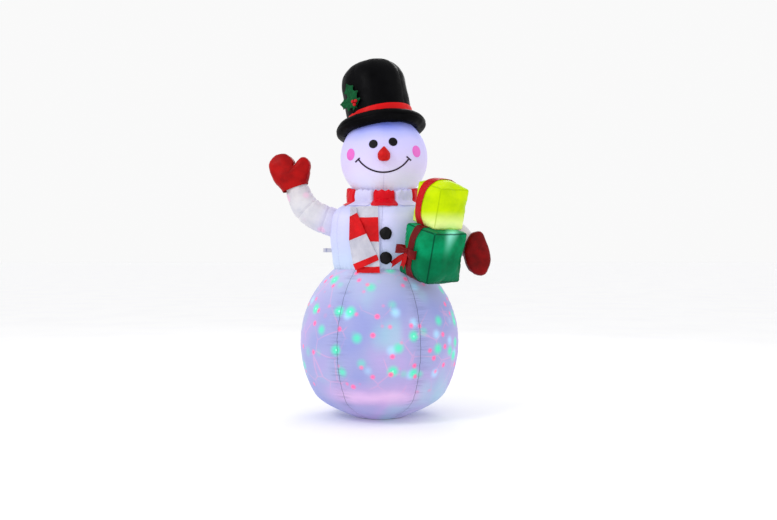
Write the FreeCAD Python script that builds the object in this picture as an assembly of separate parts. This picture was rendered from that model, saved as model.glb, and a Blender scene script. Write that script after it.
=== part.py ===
import FreeCAD, Part
import math
import os

# Inflatable yard snowman, in millimetres.
# Origin: centre of the flat base panel on the ground. +Z up, the face looks along -Y, +X is to the
# right of someone who faces the snowman.

Vector = FreeCAD.Vector
Rotation = FreeCAD.Rotation
Placement = FreeCAD.Placement

# ---- Driving dimensions ----
SKIN = 2.0                # wall of an inflated skin, seams and lining together
CLEAR = 0.4               # gap between a piece and the curved skin that it lies on

BALL_RADIUS = 328.0       # lower ball: half width
BALL_HALF_HEIGHT = 372.0  # lower ball: half height of its ellipse, before the base and waist cuts
BALL_CENTRE_Z = 310.0
WAIST_Z = 612.0
BASE_PANEL_THICKNESS = 2.0
FOOT_Z = 100.0            # below this height the ball draws in towards its base panel
FOOT_DRAW_IN = 0.42

HEAD_RADIUS = 182.0
HEAD_CENTRE = Vector(18.0, 0.0, 1074.0)
NECK_Z = 925.0
TORSO_PROFILE = [(642.0, 195.5), (672.0, 199.0), (704.0, 202.5), (735.0, 204.6), (763.0, 205.0), (790.0, 204.6),
                 (812.0, 203.8), (832.0, 201.5), (846.0, 197.5), (858.0, 191.0), (867.0, 182.5), (875.0, 171.0),
                 (883.0, 155.0), (892.0, 137.0), (902.0, 122.0), (912.0, 112.5)]    # height and radius

BRIM_RING_RADIUS = 162.0
BRIM_TUBE_RADIUS = 28.0
BRIM_TILT = 7.0           # degrees, top of the hat towards -X
HAT_LEAN_BACK = 9.0       # degrees
CROWN_TILT = 11.0
CROWN_RADIUS = 136.0
CROWN_BASE = Vector(10.0, 20.0, 1206.0)
CROWN_WALL_HEIGHT = 190.0
CROWN_HEIGHT = 286.0
BAND_TOP = 60.0           # above the crown's base point
BAND_THICKNESS = 1.6
HAT_AIR_HOLE_RADIUS = 88.0    # in the top of the head, under the hat

NOSE_RADIUS = 25.5
NOSE_APEX = 36.0          # the pointed top, above the middle of the round part
NOSE_CENTRE = Vector(19.0, -196.0, 1066.0)

COLLAR_CENTRE = Vector(12.0, 0.0, 916.0)
COLLAR_RADIUS = 151.0     # outside
COLLAR_THICKNESS = 24.0
COLLAR_HEIGHT = 64.0
COLLAR_ROUNDING = 10.0
COLLAR_TILT = 7.0         # degrees, front lower
COLLAR_PANELS = 10
COLLAR_FIRST_EDGE = -15.0

BUTTON_RADIUS = 25.0
BUTTON_DEPTH = 15.0
BUTTON_X = 26.5
BUTTON_HEIGHTS = (755.0, 658.0)

GIFT_YAW_GREEN = 40.0
GIFT_YAW_YELLOW = 37.0
GIFT_PITCH = 14.0         # top faces turned towards the front
GIFT_ROLL = 9.0           # tops leaning to +X
GREEN_WIDTH = 172.0
GREEN_HEIGHT = 200.0
GREEN_CENTRE = Vector(211.0, -238.0, 679.0)
YELLOW_WIDTH = 138.0
YELLOW_HEIGHT = 154.0
YELLOW_BACK = 32.0        # how far the yellow box sits behind the middle of the green one
GIFT_FILLET = 20.0
RIBBON_WIDTH = 33.0
RIBBON_THICKNESS = 1.5
GREEN_RIBBON_OFFSET = 15.0
YELLOW_RIBBON_OFFSET = 24.0
BOW_ALONG = 26.0          # place of the bow on the green box's left face
BOW_UP = 2.0
BOW_DEPTH = 28.0
BOW_WIDTH = 34.0
BOW_KNOT_RADIUS = 9.0
BOW_LOOP_HOLLOW = 0.90
BOW_LOOPS = ((60.0, 1), (42.0, -1))                   # reach and side of each loop
BOW_TAILS = ((-50.0, 100.0, 11.4), (-16.0, 60.0, 9.0))   # spread in degrees, length, place in from the knot
BOW_TAIL_WIDTH = 24.0

TETHER_WEB_WIDTH = 17.0
TETHER_LENGTH = 47.0
TETHER_Z = 691.0
TETHER_EYE_RADIUS = 6.0
WEBBING = 1.8

ZIP_AZIMUTH = 52.0        # degrees from +X towards +Y
ZIP_ARC_RADIUS = BALL_HALF_HEIGHT ** 2 / BALL_RADIUS
ZIP_HALF_ANGLE = 19.0
ZIP_TAPE_HALF_WIDTH = 15.0
ZIP_TAPE_THICKNESS = 1.0
ZIP_TOOTH_HEIGHT = 2.5
ZIP_TOOTH_HALF_WIDTH = 3.5
ZIP_TOOTH_PITCH = 4.8
ZIP_REST_ANGLE = -17.0

BLOWER_TILT = 20.0        # degrees that the intake points below the horizontal
BLOWER_SURFACE = Vector(0.0, 304.0, 170.0)
BLOWER_SEAT_DEPTH = 13.0
HOUSING_RADIUS = 58.0
HOUSING_WALL = 2.5
HOUSING_DEPTH = 62.0
FLANGE_RADIUS = 82.0
FLANGE_THICKNESS = 4.0
FLANGE_SCREW_CIRCLE = 70.0
SKIN_SCREW_HOLE = 2.6
FAN_SHAFT_RADIUS = 2.0
RUNNING_GAP = 0.08
FAN_BLADES = 7

LAMP_RADIUS = 65.0
LAMP_FEET_HEIGHT = 6.0
LAMP_CUP_HEIGHT = 50.0
LAMP_WALL = 2.5
DOME_RADIUS = 52.0
DOME_WALL = 2.0
DOME_LENS_ROWS = ((24.0, 12), (50.0, 8), (74.0, 4))   # elevation in degrees and lenses in the row
DOME_LENS_RADIUS = 7.0
DOME_LENS_DEPTH = 4.0

LEAD_RADIUS = 2.5

UP = Vector(0, 0, 1)
ORIGIN = Vector(0, 0, 0)
HEAD_LEAN = HEAD_CENTRE.x
NECK_RADIUS = math.sqrt(HEAD_RADIUS ** 2 - (HEAD_CENTRE.z - NECK_Z) ** 2)
nodes = {}


# ---- Helpers ----
def turned(shape, axis, degrees, centre=ORIGIN):
    result = shape.copy()
    result.rotate(centre, axis, degrees)
    return result


def moved(shape, vector):
    result = shape.copy()
    result.translate(vector)
    return result


def placed(shape, placement):
    result = shape.copy()
    result.Placement = placement.multiply(result.Placement)
    return result


def tube(outer, inner, height, z=0.0):
    base = Vector(0, 0, z)
    return Part.makeCylinder(outer, height, base).cut(Part.makeCylinder(inner, height, base))


def centred_box(x, y, z, centre=ORIGIN):
    return Part.makeBox(x, y, z, centre - Vector(x / 2, y / 2, z / 2))


def revolved(points):
    """Solid of revolution about Z from a smooth run of (radius, height) points."""
    curve = Part.BSplineCurve()
    curve.interpolate([Vector(radius, 0, height) for radius, height in points])
    start = Vector(points[0][0], 0, points[0][1])
    end = Vector(points[-1][0], 0, points[-1][1])
    foot = Vector(0, 0, start.z)
    head = Vector(0, 0, end.z)
    edges = [curve.toShape()]
    if end.x > 1e-6:
        edges.append(Part.makeLine(end, head))
    edges.append(Part.makeLine(head, foot))
    if start.x > 1e-6:
        edges.append(Part.makeLine(foot, start))
    face = Part.Face(Part.Wire(edges))
    return face.revolve(ORIGIN, UP, 360)


def lens(radius, depth):
    """Padded disc: flat at z = 0, domed above it."""
    sphere_radius = (radius ** 2 + depth ** 2) / (2 * depth)
    ball = Part.makeSphere(sphere_radius, Vector(0, 0, depth - sphere_radius))
    half = Part.makeCylinder(radius * 1.5, depth * 1.5)
    return ball.common(half)


def ball_radius_at(z, offset=0.0):
    """Radius of the lower ball, grown by offset: an ellipse that draws in more towards its foot."""
    span = (z - BALL_CENTRE_Z) / (BALL_HALF_HEIGHT + offset)
    below = max(0.0, FOOT_Z - z) / FOOT_Z
    return (BALL_RADIUS + offset) * math.sqrt(1 - span ** 2) * (1 - FOOT_DRAW_IN * below ** 2)


def ball_solid(offset, low, high):
    """The lower ball, grown by offset, between two heights."""
    steps = 24
    points = []
    for i in range(steps + 1):
        z = low + (high - low) * i / steps
        points.append((ball_radius_at(z, offset), z))
    return revolved(points)


def torso_centre_x(z):
    return HEAD_LEAN * (z - WAIST_Z) / (NECK_Z - WAIST_Z)


def torso_solid(offset):
    """The torso, grown by offset: circles that lean a little towards +X as they rise."""
    profile = [(WAIST_Z, ball_radius_at(WAIST_Z))] + TORSO_PROFILE + [(NECK_Z, NECK_RADIUS)]
    return stacked_circles([(z, radius + offset) for z, radius in profile])


def stacked_circles(profile):
    wires = []
    for z, radius in profile:
        centre = Vector(torso_centre_x(z), 0, z)
        wires.append(Part.Wire(Part.makeCircle(radius, centre, UP)))
    return Part.makeLoft(wires, True, False)


def limb(sections, offset=0.0):
    """Round limb through (centre, radius) sections, each square to the way the limb runs."""
    wires = []
    for i, (centre, radius) in enumerate(sections):
        before = sections[max(i - 1, 0)][0]
        after = sections[min(i + 1, len(sections) - 1)][0]
        wires.append(Part.Wire(Part.makeCircle(radius + offset, centre, after - before)))
    return Part.makeLoft(wires, True, False)


def pillow(outline, centre, depth, offset=0.0):
    """Padded flat shape: an outline of (x, z) points that shrinks towards its front and back."""
    levels = [(-1.0, 0.40), (-0.88, 0.70), (-0.50, 0.93), (0.0, 1.0), (0.50, 0.93), (0.88, 0.70), (1.0, 0.40)]
    width = max(x for x, z in outline) - min(x for x, z in outline)
    grow = 1 + 2 * offset / width
    wires = []
    for level, scale in levels:
        points = []
        for x, z in outline:
            points.append(Vector(centre.x + (x - centre.x) * scale * grow,
                                 centre.y + level * (depth / 2 + offset),
                                 centre.z + (z - centre.z) * scale * grow))
        curve = Part.BSplineCurve()
        curve.interpolate(points, PeriodicFlag=True)
        wires.append(Part.Wire(curve.toShape()))
    return Part.makeLoft(wires, True, False)


def half_space(point, normal, size=1200.0):
    """Large block on the side of the plane that the normal points to."""
    block = centred_box(size, size, size, Vector(0, 0, size / 2))
    return placed(block, Placement(point, Rotation(UP, normal)))


def front_prism(points):
    """Outline of (x, z) points, carried through the front half of the snowman."""
    corners = [Vector(x, -400, z) for x, z in points]
    wire = Part.makePolygon(corners + [corners[0]])
    return Part.Face(wire).extrude(Vector(0, 400, 0))


def group(shapes):
    return Part.makeCompound(shapes)


def lead(points, radius=LEAD_RADIUS):
    """Round lead along straight runs that tangent arcs join; prints its length and smallest bend."""
    edges = []
    previous = points[0]
    bends = []
    for i in range(1, len(points) - 1):
        corner = points[i]
        into = (corner - points[i - 1]).normalize()
        out = (points[i + 1] - corner).normalize()
        turn = into.getAngle(out)
        shorter = min((corner - points[i - 1]).Length, (points[i + 1] - corner).Length)
        bend = 0.45 * shorter / math.tan(turn / 2)
        bends.append(bend)
        cut_back = bend * math.tan(turn / 2)
        arc_start = corner - into * cut_back
        arc_end = corner + out * cut_back
        to_centre = (out - into).normalize()
        centre = corner + to_centre * (bend / math.cos(turn / 2))
        middle = centre - to_centre * bend
        edges.append(Part.makeLine(previous, arc_start))
        edges.append(Part.Arc(arc_start, middle, arc_end).toShape())
        previous = arc_end
    edges.append(Part.makeLine(previous, points[-1]))
    path = Part.Wire(edges)
    start_direction = (points[1] - points[0]).normalize()
    section = Part.Wire(Part.makeCircle(radius, points[0], start_direction))
    solid = path.makePipeShell([section], True, True)
    expected = math.pi * radius ** 2 * path.Length
    print("lead length %.0f mm, smallest bend %.0f mm, volume ratio %.3f"
          % (path.Length, min(bends), solid.Volume / expected))
    return solid


# ---- Skins of the body ----
waist_radius = ball_radius_at(WAIST_Z)
blower_axis = Vector(0, math.cos(math.radians(BLOWER_TILT)), -math.sin(math.radians(BLOWER_TILT)))
blower_seat = BLOWER_SURFACE - blower_axis * BLOWER_SEAT_DEPTH
blower_frame = Placement(blower_seat, Rotation(UP, blower_axis))

torso_outer = torso_solid(0.0)
torso_inner = torso_solid(-SKIN)
torso_clear = torso_solid(CLEAR)
head_clear = Part.makeSphere(HEAD_RADIUS + CLEAR, HEAD_CENTRE)


def screw_places():
    for i in range(4):
        angle = math.radians(45 + 90 * i)
        yield Vector(FLANGE_SCREW_CIRCLE * math.cos(angle), FLANGE_SCREW_CIRCLE * math.sin(angle), 0)


def make_ball():
    outer = ball_solid(0.0, BASE_PANEL_THICKNESS, WAIST_Z)
    inner = ball_solid(-SKIN, BASE_PANEL_THICKNESS, WAIST_Z)
    outer = outer.cut(half_space(blower_seat, blower_axis))
    inner = inner.cut(half_space(blower_seat - blower_axis * SKIN, blower_axis))
    shell = outer.cut(inner)
    hole = Part.makeCylinder(HOUSING_RADIUS + 1.0, 4 * SKIN, Vector(0, 0, -2 * SKIN))
    shell = shell.cut(placed(hole, blower_frame))
    for place in screw_places():
        screw_hole = Part.makeCylinder(SKIN_SCREW_HOLE, 4 * SKIN, place - UP * 2 * SKIN)
        shell = shell.cut(placed(screw_hole, blower_frame))
    nodes["ball_shell"] = shell.cut(zip_place(zip_strip(-8.0, 8.0, 2.0, ZIP_HALF_ANGLE - 1.5)))
    base_radius = ball_radius_at(BASE_PANEL_THICKNESS)
    nodes["base_panel"] = Part.makeCylinder(base_radius, BASE_PANEL_THICKNESS)


def make_head():
    ball = Part.makeSphere(HEAD_RADIUS, HEAD_CENTRE)
    hollow = Part.makeSphere(HEAD_RADIUS - SKIN, HEAD_CENTRE)
    above_neck = half_space(Vector(0, 0, NECK_Z), UP)
    air_hole = hat_place(Part.makeCylinder(HAT_AIR_HOLE_RADIUS, 120.0, Vector(0, 0, 100.0)))
    nodes["head_shell"] = ball.cut(hollow).common(above_neck).cut(air_hole)


# ---- Arms and mittens ----
WAVING_ARM = [(Vector(-150, 0, 790), 59.0), (Vector(-206, 0, 812), 59.0), (Vector(-262, 0, 834), 58.0),
              (Vector(-307, 0, 868), 56.0), (Vector(-333, -2, 912), 51.0), (Vector(-350, -4, 956), 48.0),
              (Vector(-364, -4, 996), 47.0)]
WAVING_MITTEN = [(-318, 930), (-304, 970), (-291, 1012), (-286, 1049), (-300, 1076), (-322, 1078),
                 (-340, 1062), (-354, 1052), (-364, 1074), (-396, 1096), (-434, 1090), (-460, 1066),
                 (-466, 1040), (-456, 1004), (-440, 976), (-412, 945), (-385, 905)]
WAVING_MITTEN_CENTRE = Vector(-378, -4, 1010)
WAVING_WRIST = Vector(-346, 0, 954)
WAVING_WRIST_NORMAL = Vector(-0.334, 0, 0.943)

GIFT_ARM = [(Vector(150, 0, 788), 54.0), (Vector(212, -8, 800), 54.0), (Vector(264, -38, 788), 52.0),
            (Vector(312, -86, 758), 49.0), (Vector(344, -134, 722), 46.0), (Vector(366, -168, 690), 44.0)]
GIFT_MITTEN = [(355, 744), (376, 762), (398, 766), (414, 748), (428, 710), (440, 665), (438, 625),
               (424, 598), (400, 588), (372, 598), (346, 628), (336, 670), (340, 712)]
GIFT_MITTEN_CENTRE = Vector(388, -184, 676)
MITTEN_DEPTH = 88.0


def make_arms():
    torso = torso_outer.cut(torso_inner)
    arm_inner = limb(WAVING_ARM, -SKIN)
    arm = limb(WAVING_ARM).cut(arm_inner).cut(torso_clear)
    beyond_wrist = half_space(WAVING_WRIST, WAVING_WRIST_NORMAL)
    nodes["waving_arm"] = arm.cut(beyond_wrist)
    mitten = pillow(WAVING_MITTEN, WAVING_MITTEN_CENTRE, MITTEN_DEPTH)
    mitten = mitten.cut(pillow(WAVING_MITTEN, WAVING_MITTEN_CENTRE, MITTEN_DEPTH, -SKIN))
    nodes["waving_mitten"] = mitten.common(beyond_wrist)

    gift_inner = limb(GIFT_ARM, -SKIN)
    gift_mitten = pillow(GIFT_MITTEN, GIFT_MITTEN_CENTRE, MITTEN_DEPTH)
    mitten_clear = pillow(GIFT_MITTEN, GIFT_MITTEN_CENTRE, MITTEN_DEPTH, CLEAR)
    gift_arm = limb(GIFT_ARM).cut(gift_inner).cut(torso_clear).cut(mitten_clear)
    nodes["gift_arm"] = max(gift_arm.Solids, key=lambda solid: solid.Volume)
    hollow = pillow(GIFT_MITTEN, GIFT_MITTEN_CENTRE, MITTEN_DEPTH, -SKIN)
    nodes["gift_mitten"] = gift_mitten.cut(hollow).cut(limb(GIFT_ARM[:-1], -SKIN - 4.0))

    for inner, side in ((arm_inner, -1), (gift_inner, 1)):
        beside = half_space(Vector(side * 90, 0, 800), Vector(side, 0, 0))
        torso = torso.cut(inner.common(beside))
    nodes["torso_shell"] = torso


# ---- Hat ----
def hat_place(shape):
    """Puts a shape made about the head's centre into the hat's leaning frame."""
    leaned = turned(shape, Vector(1, 0, 0), -HAT_LEAN_BACK)
    leaned = turned(leaned, Vector(0, 1, 0), -BRIM_TILT)
    return moved(leaned, HEAD_CENTRE)


def crown_place(shape):
    leaned = turned(shape, Vector(1, 0, 0), -HAT_LEAN_BACK)
    leaned = turned(leaned, Vector(0, 1, 0), -CROWN_TILT)
    return moved(leaned, CROWN_BASE)


def crown_solid(offset):
    rise = CROWN_HEIGHT - CROWN_WALL_HEIGHT + offset
    radius = CROWN_RADIUS + offset
    dome = [(radius * math.cos(math.radians(a)) ** 0.62, CROWN_WALL_HEIGHT + rise * math.sin(math.radians(a)))
            for a in (0, 12, 26, 42, 58, 73, 84)]
    dome.append((0.0, CROWN_WALL_HEIGHT + rise))
    wall = Part.makeCylinder(radius, CROWN_WALL_HEIGHT)
    return wall.fuse(revolved(dome)).removeSplitter()


def make_hat():
    brim_height = math.sqrt((HEAD_RADIUS + BRIM_TUBE_RADIUS + CLEAR) ** 2 - BRIM_RING_RADIUS ** 2)
    brim_base = Vector(4, 0, brim_height)
    brim = Part.makeTorus(BRIM_RING_RADIUS, BRIM_TUBE_RADIUS, brim_base)
    brim_hollow = Part.makeTorus(BRIM_RING_RADIUS, BRIM_TUBE_RADIUS - SKIN, brim_base)
    brim_clear = hat_place(Part.makeTorus(BRIM_RING_RADIUS, BRIM_TUBE_RADIUS + CLEAR, brim_base))
    nodes["hat_brim"] = hat_place(brim.cut(brim_hollow)).cut(head_clear)

    crown = crown_place(crown_solid(0.0).cut(crown_solid(-SKIN).fuse(Part.makeCylinder(134, 3, Vector(0, 0, -1)))))
    crown = crown.cut(brim_clear).cut(head_clear)
    nodes["hat_crown"] = max(crown.Solids, key=lambda solid: solid.Volume)
    band = crown_place(tube(CROWN_RADIUS + CLEAR + BAND_THICKNESS, CROWN_RADIUS + CLEAR, BAND_TOP))
    band = band.cut(brim_clear).cut(head_clear)
    nodes["hat_band"] = max(band.Solids, key=lambda solid: solid.CenterOfMass.z)


# ---- Holly ----
HOLLY_AZIMUTH = -41.0     # degrees from the front towards +X, about the crown
HOLLY_HEIGHT = 92.0
UPPER_LEAF = (118.0, 68.0)     # length and width
LOWER_LEAF = (100.0, 54.0)
LEAF_THICKNESS = 3.0


def leaf(length, width, thickness):
    """Holly leaf along +Z from its stem at the origin, with three spikes on each side."""
    spikes = ((0.06, 0.10), (0.20, 0.92), (0.32, 0.58), (0.48, 1.0), (0.60, 0.55), (0.76, 0.72), (0.86, 0.30))
    right = [Vector(width / 2 * side, 0, length * along) for along, side in spikes]
    left = [Vector(-point.x, 0, point.z) for point in reversed(right)]
    corners = [Vector(0, 0, 0)] + right + [Vector(0, 0, length)] + left
    face = Part.Face(Part.makePolygon(corners + [corners[0]]))
    return face.extrude(Vector(0, -thickness, 0))


def holly_place(shape, outward):
    """Puts a flat shape, made against the plane y = 0, tangent to the crown's front left."""
    shape = moved(shape, Vector(0, -(CROWN_RADIUS + outward), HOLLY_HEIGHT))
    return crown_place(turned(shape, UP, HOLLY_AZIMUTH))


def make_holly():
    upper = turned(leaf(*UPPER_LEAF, LEAF_THICKNESS), Vector(0, 1, 0), -20.0)
    lower = turned(leaf(*LOWER_LEAF, LEAF_THICKNESS), Vector(0, 1, 0), -84.0)
    nodes["holly_leaf_upper"] = holly_place(moved(upper, Vector(4, 0, -28)), 7.0)
    nodes["holly_leaf_lower"] = holly_place(moved(lower, Vector(12, 0, -6)), 3.4)
    berries = []
    for x, z in ((2.0, 2.0), (17.0, -1.0), (8.0, -13.0)):
        berries.append(Part.makeSphere(7.3, Vector(x, -7.5, z)))
    nodes["holly_berries"] = holly_place(group(berries), 10.3)


# ---- Face ----
def toward(azimuth, elevation):
    """Unit vector: azimuth from the front towards +X, elevation upwards."""
    a = math.radians(azimuth)
    e = math.radians(elevation)
    return Vector(math.sin(a) * math.cos(e), -math.cos(a) * math.cos(e), math.sin(e))


def head_layer(thickness):
    outer = Part.makeSphere(HEAD_RADIUS + CLEAR + thickness, HEAD_CENTRE)
    return outer.cut(head_clear)


def head_patch(azimuth, elevation, radius, thickness):
    direction = toward(azimuth, elevation)
    core = Part.makeCylinder(radius, HEAD_RADIUS * 1.4, HEAD_CENTRE, direction)
    return head_layer(thickness).common(core)


def make_face():
    nodes["eyes"] = group([head_patch(-13.6, 12.5, 18.0, 1.4), head_patch(12.2, 15.4, 18.0, 1.4)])
    nodes["cheeks"] = group([head_patch(-47.9, 1.2, 24.0, 1.2), head_patch(47.0, 5.1, 24.0, 1.2)])

    smile_centre = Vector(16.5, -240, 1122.5)
    smile_radius = 121.5
    line = 3.0
    ring = tube(smile_radius + line, smile_radius - line, 240)
    ring = moved(turned(ring, Vector(1, 0, 0), -90), smile_centre)
    below = centred_box(400, 300, 200, Vector(16.5, -120, 1055 - 100))
    smile = ring.common(below)
    ticks = []
    for x, z, turn in ((-88, 1052, 40.0), (119, 1058, -38.0)):
        tick = centred_box(24, 240, 2 * line, Vector(0, -120, 0))
        ticks.append(moved(turned(tick, Vector(0, 1, 0), -turn), Vector(x, 0, z)))
    mouth = smile.fuse(ticks[0]).fuse(ticks[1])
    nodes["mouth"] = head_layer(1.2).common(mouth)

    round_part = Part.makeSphere(NOSE_RADIUS)
    touch_height = NOSE_RADIUS ** 2 / NOSE_APEX
    touch_radius = NOSE_RADIUS * math.sqrt(1 - (NOSE_RADIUS / NOSE_APEX) ** 2)
    cut_off = 0.94
    tip_radius = touch_radius * (1 - cut_off)
    cone_height = (NOSE_APEX - touch_height) * cut_off
    cone = Part.makeCone(touch_radius, tip_radius, cone_height, Vector(0, 0, touch_height))
    nose = turned(round_part.fuse(cone), Vector(1, 0, 0), 8.0)
    nodes["nose"] = moved(nose, NOSE_CENTRE).cut(head_clear)


# ---- Scarf ----
def collar_ring():
    """Padded band around the neck, with rounded edges and its front a little lower."""
    ring = tube(COLLAR_RADIUS, COLLAR_RADIUS - COLLAR_THICKNESS, COLLAR_HEIGHT, -COLLAR_HEIGHT / 2)
    rims = [edge for edge in ring.Edges if isinstance(edge.Curve, Part.Circle)]
    ring = ring.makeFillet(COLLAR_ROUNDING, rims)
    ring = turned(ring, Vector(1, 0, 0), COLLAR_TILT)
    return moved(ring, COLLAR_CENTRE).cut(torso_clear).cut(head_clear)


def make_collar():
    ring = collar_ring()
    panel_angle = 360.0 / COLLAR_PANELS
    panels = ([], [])
    for i in range(COLLAR_PANELS):
        wedge = Part.makeCylinder(260, 400, ORIGIN, UP, panel_angle)
        wedge = turned(wedge, UP, -90 + COLLAR_FIRST_EDGE + i * panel_angle)
        piece = moved(wedge, Vector(COLLAR_CENTRE.x, 0, COLLAR_CENTRE.z - 200)).common(ring)
        panels[i % 2].append(max(piece.Solids, key=lambda solid: solid.Volume))
    nodes["collar_red"] = group(panels[0])
    nodes["collar_white"] = group(panels[1])


DRAPE = [(590.0, 217.0), (640.0, 214.0), (700.0, 212.5), (752.0, 212.0), (800.0, 211.5), (834.0, 209.5),
         (856.0, 201.0), (870.0, 187.0)]  # height and radius of the cloth in front of the torso
CLOTH = 1.0
TAIL_GAP = 1.5            # between the two tails
STRIPE_GAP = 0.4
REAR_STRIPES = (864.0, 819.0, 722.0, 624.0, 599.0)         # heights of the rear tail's stripe edges
REAR_LEFT_EDGE = (-118.0, -88.0)                           # X at the top and at the bottom
REAR_RIGHT_EDGE = (-5.0, 3.0)
FRONT_LEFT_EDGE = [(-112, 850), (-118, 823), (-120, 727), (-104, 633), (-93, 609)]    # X and Z
FRONT_RIGHT_EDGE = [(-92, 862), (-88, 838), (-51, 754), (-10, 672), (-1, 650)]


def draped(offset):
    """Thin layer of cloth that hangs in front of the torso."""
    outer = stacked_circles([(z, radius + offset + CLOTH) for z, radius in DRAPE])
    inner = stacked_circles([(z, radius + offset) for z, radius in DRAPE])
    return outer.cut(inner)


def rear_edge(edge, z):
    """X of one edge of the rear tail at a height."""
    top, bottom = REAR_STRIPES[0], REAR_STRIPES[-1]
    return edge[0] + (edge[1] - edge[0]) * (top - z) / (top - bottom)


def make_scarf_tails():
    rear_layer = draped(0.0)
    rear_bands = []
    for top, bottom in zip(REAR_STRIPES, REAR_STRIPES[1:]):
        top = top - STRIPE_GAP
        outline = [(rear_edge(REAR_LEFT_EDGE, top), top), (rear_edge(REAR_RIGHT_EDGE, top), top),
                   (rear_edge(REAR_RIGHT_EDGE, bottom), bottom), (rear_edge(REAR_LEFT_EDGE, bottom), bottom)]
        rear_bands.append(rear_layer.common(front_prism(outline)))
    nodes["scarf_rear_white"] = group(rear_bands[0::2])
    nodes["scarf_rear_red"] = group(rear_bands[1::2])

    front_layer = draped(CLOTH + TAIL_GAP)
    front_bands = []
    for i in range(len(FRONT_LEFT_EDGE) - 1):
        left, right = FRONT_LEFT_EDGE[i + 1], FRONT_RIGHT_EDGE[i + 1]
        outline = [FRONT_LEFT_EDGE[i], FRONT_RIGHT_EDGE[i],
                   (right[0], right[1] + STRIPE_GAP), (left[0], left[1] + STRIPE_GAP)]
        front_bands.append(front_layer.common(front_prism(outline)))
    nodes["scarf_front_white"] = group(front_bands[0::2])
    nodes["scarf_front_red"] = group(front_bands[1::2])


def make_buttons():
    buttons = []
    for z in BUTTON_HEIGHTS:
        front = 0.0
        for height, radius in [(WAIST_Z, waist_radius)] + TORSO_PROFILE:
            if abs(height - z) < 60:
                front = max(front, radius)
        button = turned(lens(BUTTON_RADIUS, BUTTON_DEPTH), Vector(1, 0, 0), 90)
        buttons.append(moved(button, Vector(BUTTON_X, -front - 1.8, z)))
    nodes["coal_buttons"] = group(buttons)


# ---- Gift boxes ----
def gift_rotation(yaw):
    roll = Rotation(Vector(0, 1, 0), GIFT_ROLL)
    pitch = Rotation(Vector(1, 0, 0), GIFT_PITCH)
    return roll.multiply(pitch).multiply(Rotation(UP, yaw))


def rounded_box(width, height, fillet):
    box = centred_box(width, width, height)
    return box.makeFillet(fillet, box.Edges)


def gift(width, height, ribbon_offset):
    """Box skin and the ribbon round it, both about the box's centre."""
    outer = rounded_box(width, height, GIFT_FILLET)
    inner = rounded_box(width - 2 * SKIN, height - 2 * SKIN, GIFT_FILLET - SKIN)
    near = rounded_box(width + 2 * CLEAR, height + 2 * CLEAR, GIFT_FILLET + CLEAR)
    over = CLEAR + RIBBON_THICKNESS
    far = rounded_box(width + 2 * over, height + 2 * over, GIFT_FILLET + over)
    slab = centred_box(width * 2, RIBBON_WIDTH, height * 2, Vector(0, ribbon_offset, 0))
    return outer.cut(inner), far.cut(near).common(slab)


def bow_loop(reach, width, side, grow=0.0):
    """Ribbon loop that stands off the box's left face, reaching along local Y; grown ones are filled."""
    loop = Part.makeCylinder(1.0, width) if grow else tube(1.0, BOW_LOOP_HOLLOW, width)
    matrix = FreeCAD.Matrix()
    matrix.scale(BOW_DEPTH / 2 + grow, reach / 2 + grow, 1.0)
    loop = loop.transformGeometry(matrix)
    loop.translate(Vector(0, side * (reach / 2 + BOW_KNOT_RADIUS - 2.0), -width / 2))
    return loop


def make_gifts():
    green_rotation = gift_rotation(GIFT_YAW_GREEN)
    yellow_rotation = gift_rotation(GIFT_YAW_YELLOW)
    lid_normal = green_rotation.multVec(UP)
    back = gift_rotation(0.0).multVec(Vector(0, 1, 0))
    stack_gap = 2 * (RIBBON_THICKNESS + CLEAR) + 0.6
    yellow_centre = GREEN_CENTRE + lid_normal * (GREEN_HEIGHT / 2 + YELLOW_HEIGHT / 2 + stack_gap)
    yellow_centre = yellow_centre + back * YELLOW_BACK
    green_frame = Placement(GREEN_CENTRE, green_rotation)
    yellow_frame = Placement(yellow_centre, yellow_rotation)

    box, ribbon = gift(GREEN_WIDTH, GREEN_HEIGHT, GREEN_RIBBON_OFFSET)
    nodes["green_gift_box"] = placed(box, green_frame)
    nodes["green_box_ribbon"] = placed(ribbon, green_frame)
    box, ribbon = gift(YELLOW_WIDTH, YELLOW_HEIGHT, YELLOW_RIBBON_OFFSET)
    nodes["yellow_gift_box"] = placed(box, yellow_frame)
    nodes["yellow_box_ribbon"] = placed(ribbon, yellow_frame)

    stand_off = GREEN_WIDTH / 2 + CLEAR + RIBBON_THICKNESS + BOW_DEPTH / 2 + 0.6
    bow_frame = green_frame.multiply(Placement(Vector(-stand_off, BOW_ALONG, BOW_UP), Rotation()))
    knot_room = Part.makeSphere(BOW_KNOT_RADIUS + CLEAR)
    loops = group([bow_loop(reach, BOW_WIDTH, side) for reach, side in BOW_LOOPS])
    loop_room = [bow_loop(reach, BOW_WIDTH + 2.0, side, 1.0) for reach, side in BOW_LOOPS]
    tails = []
    for spread, length, inward in BOW_TAILS:
        tail = centred_box(RIBBON_THICKNESS, BOW_TAIL_WIDTH, length, Vector(inward, 0, -length / 2 - 19.0))
        tail = turned(tail, Vector(1, 0, 0), -spread, Vector(0, 0, -8))
        for room in loop_room:
            tail = tail.cut(room)
        tails.append(tail)
    nodes["bow_knot"] = placed(Part.makeSphere(BOW_KNOT_RADIUS), bow_frame)
    nodes["bow_loops"] = placed(loops.cut(knot_room), bow_frame)
    nodes["bow_tails"] = placed(group(tails), bow_frame)


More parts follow.
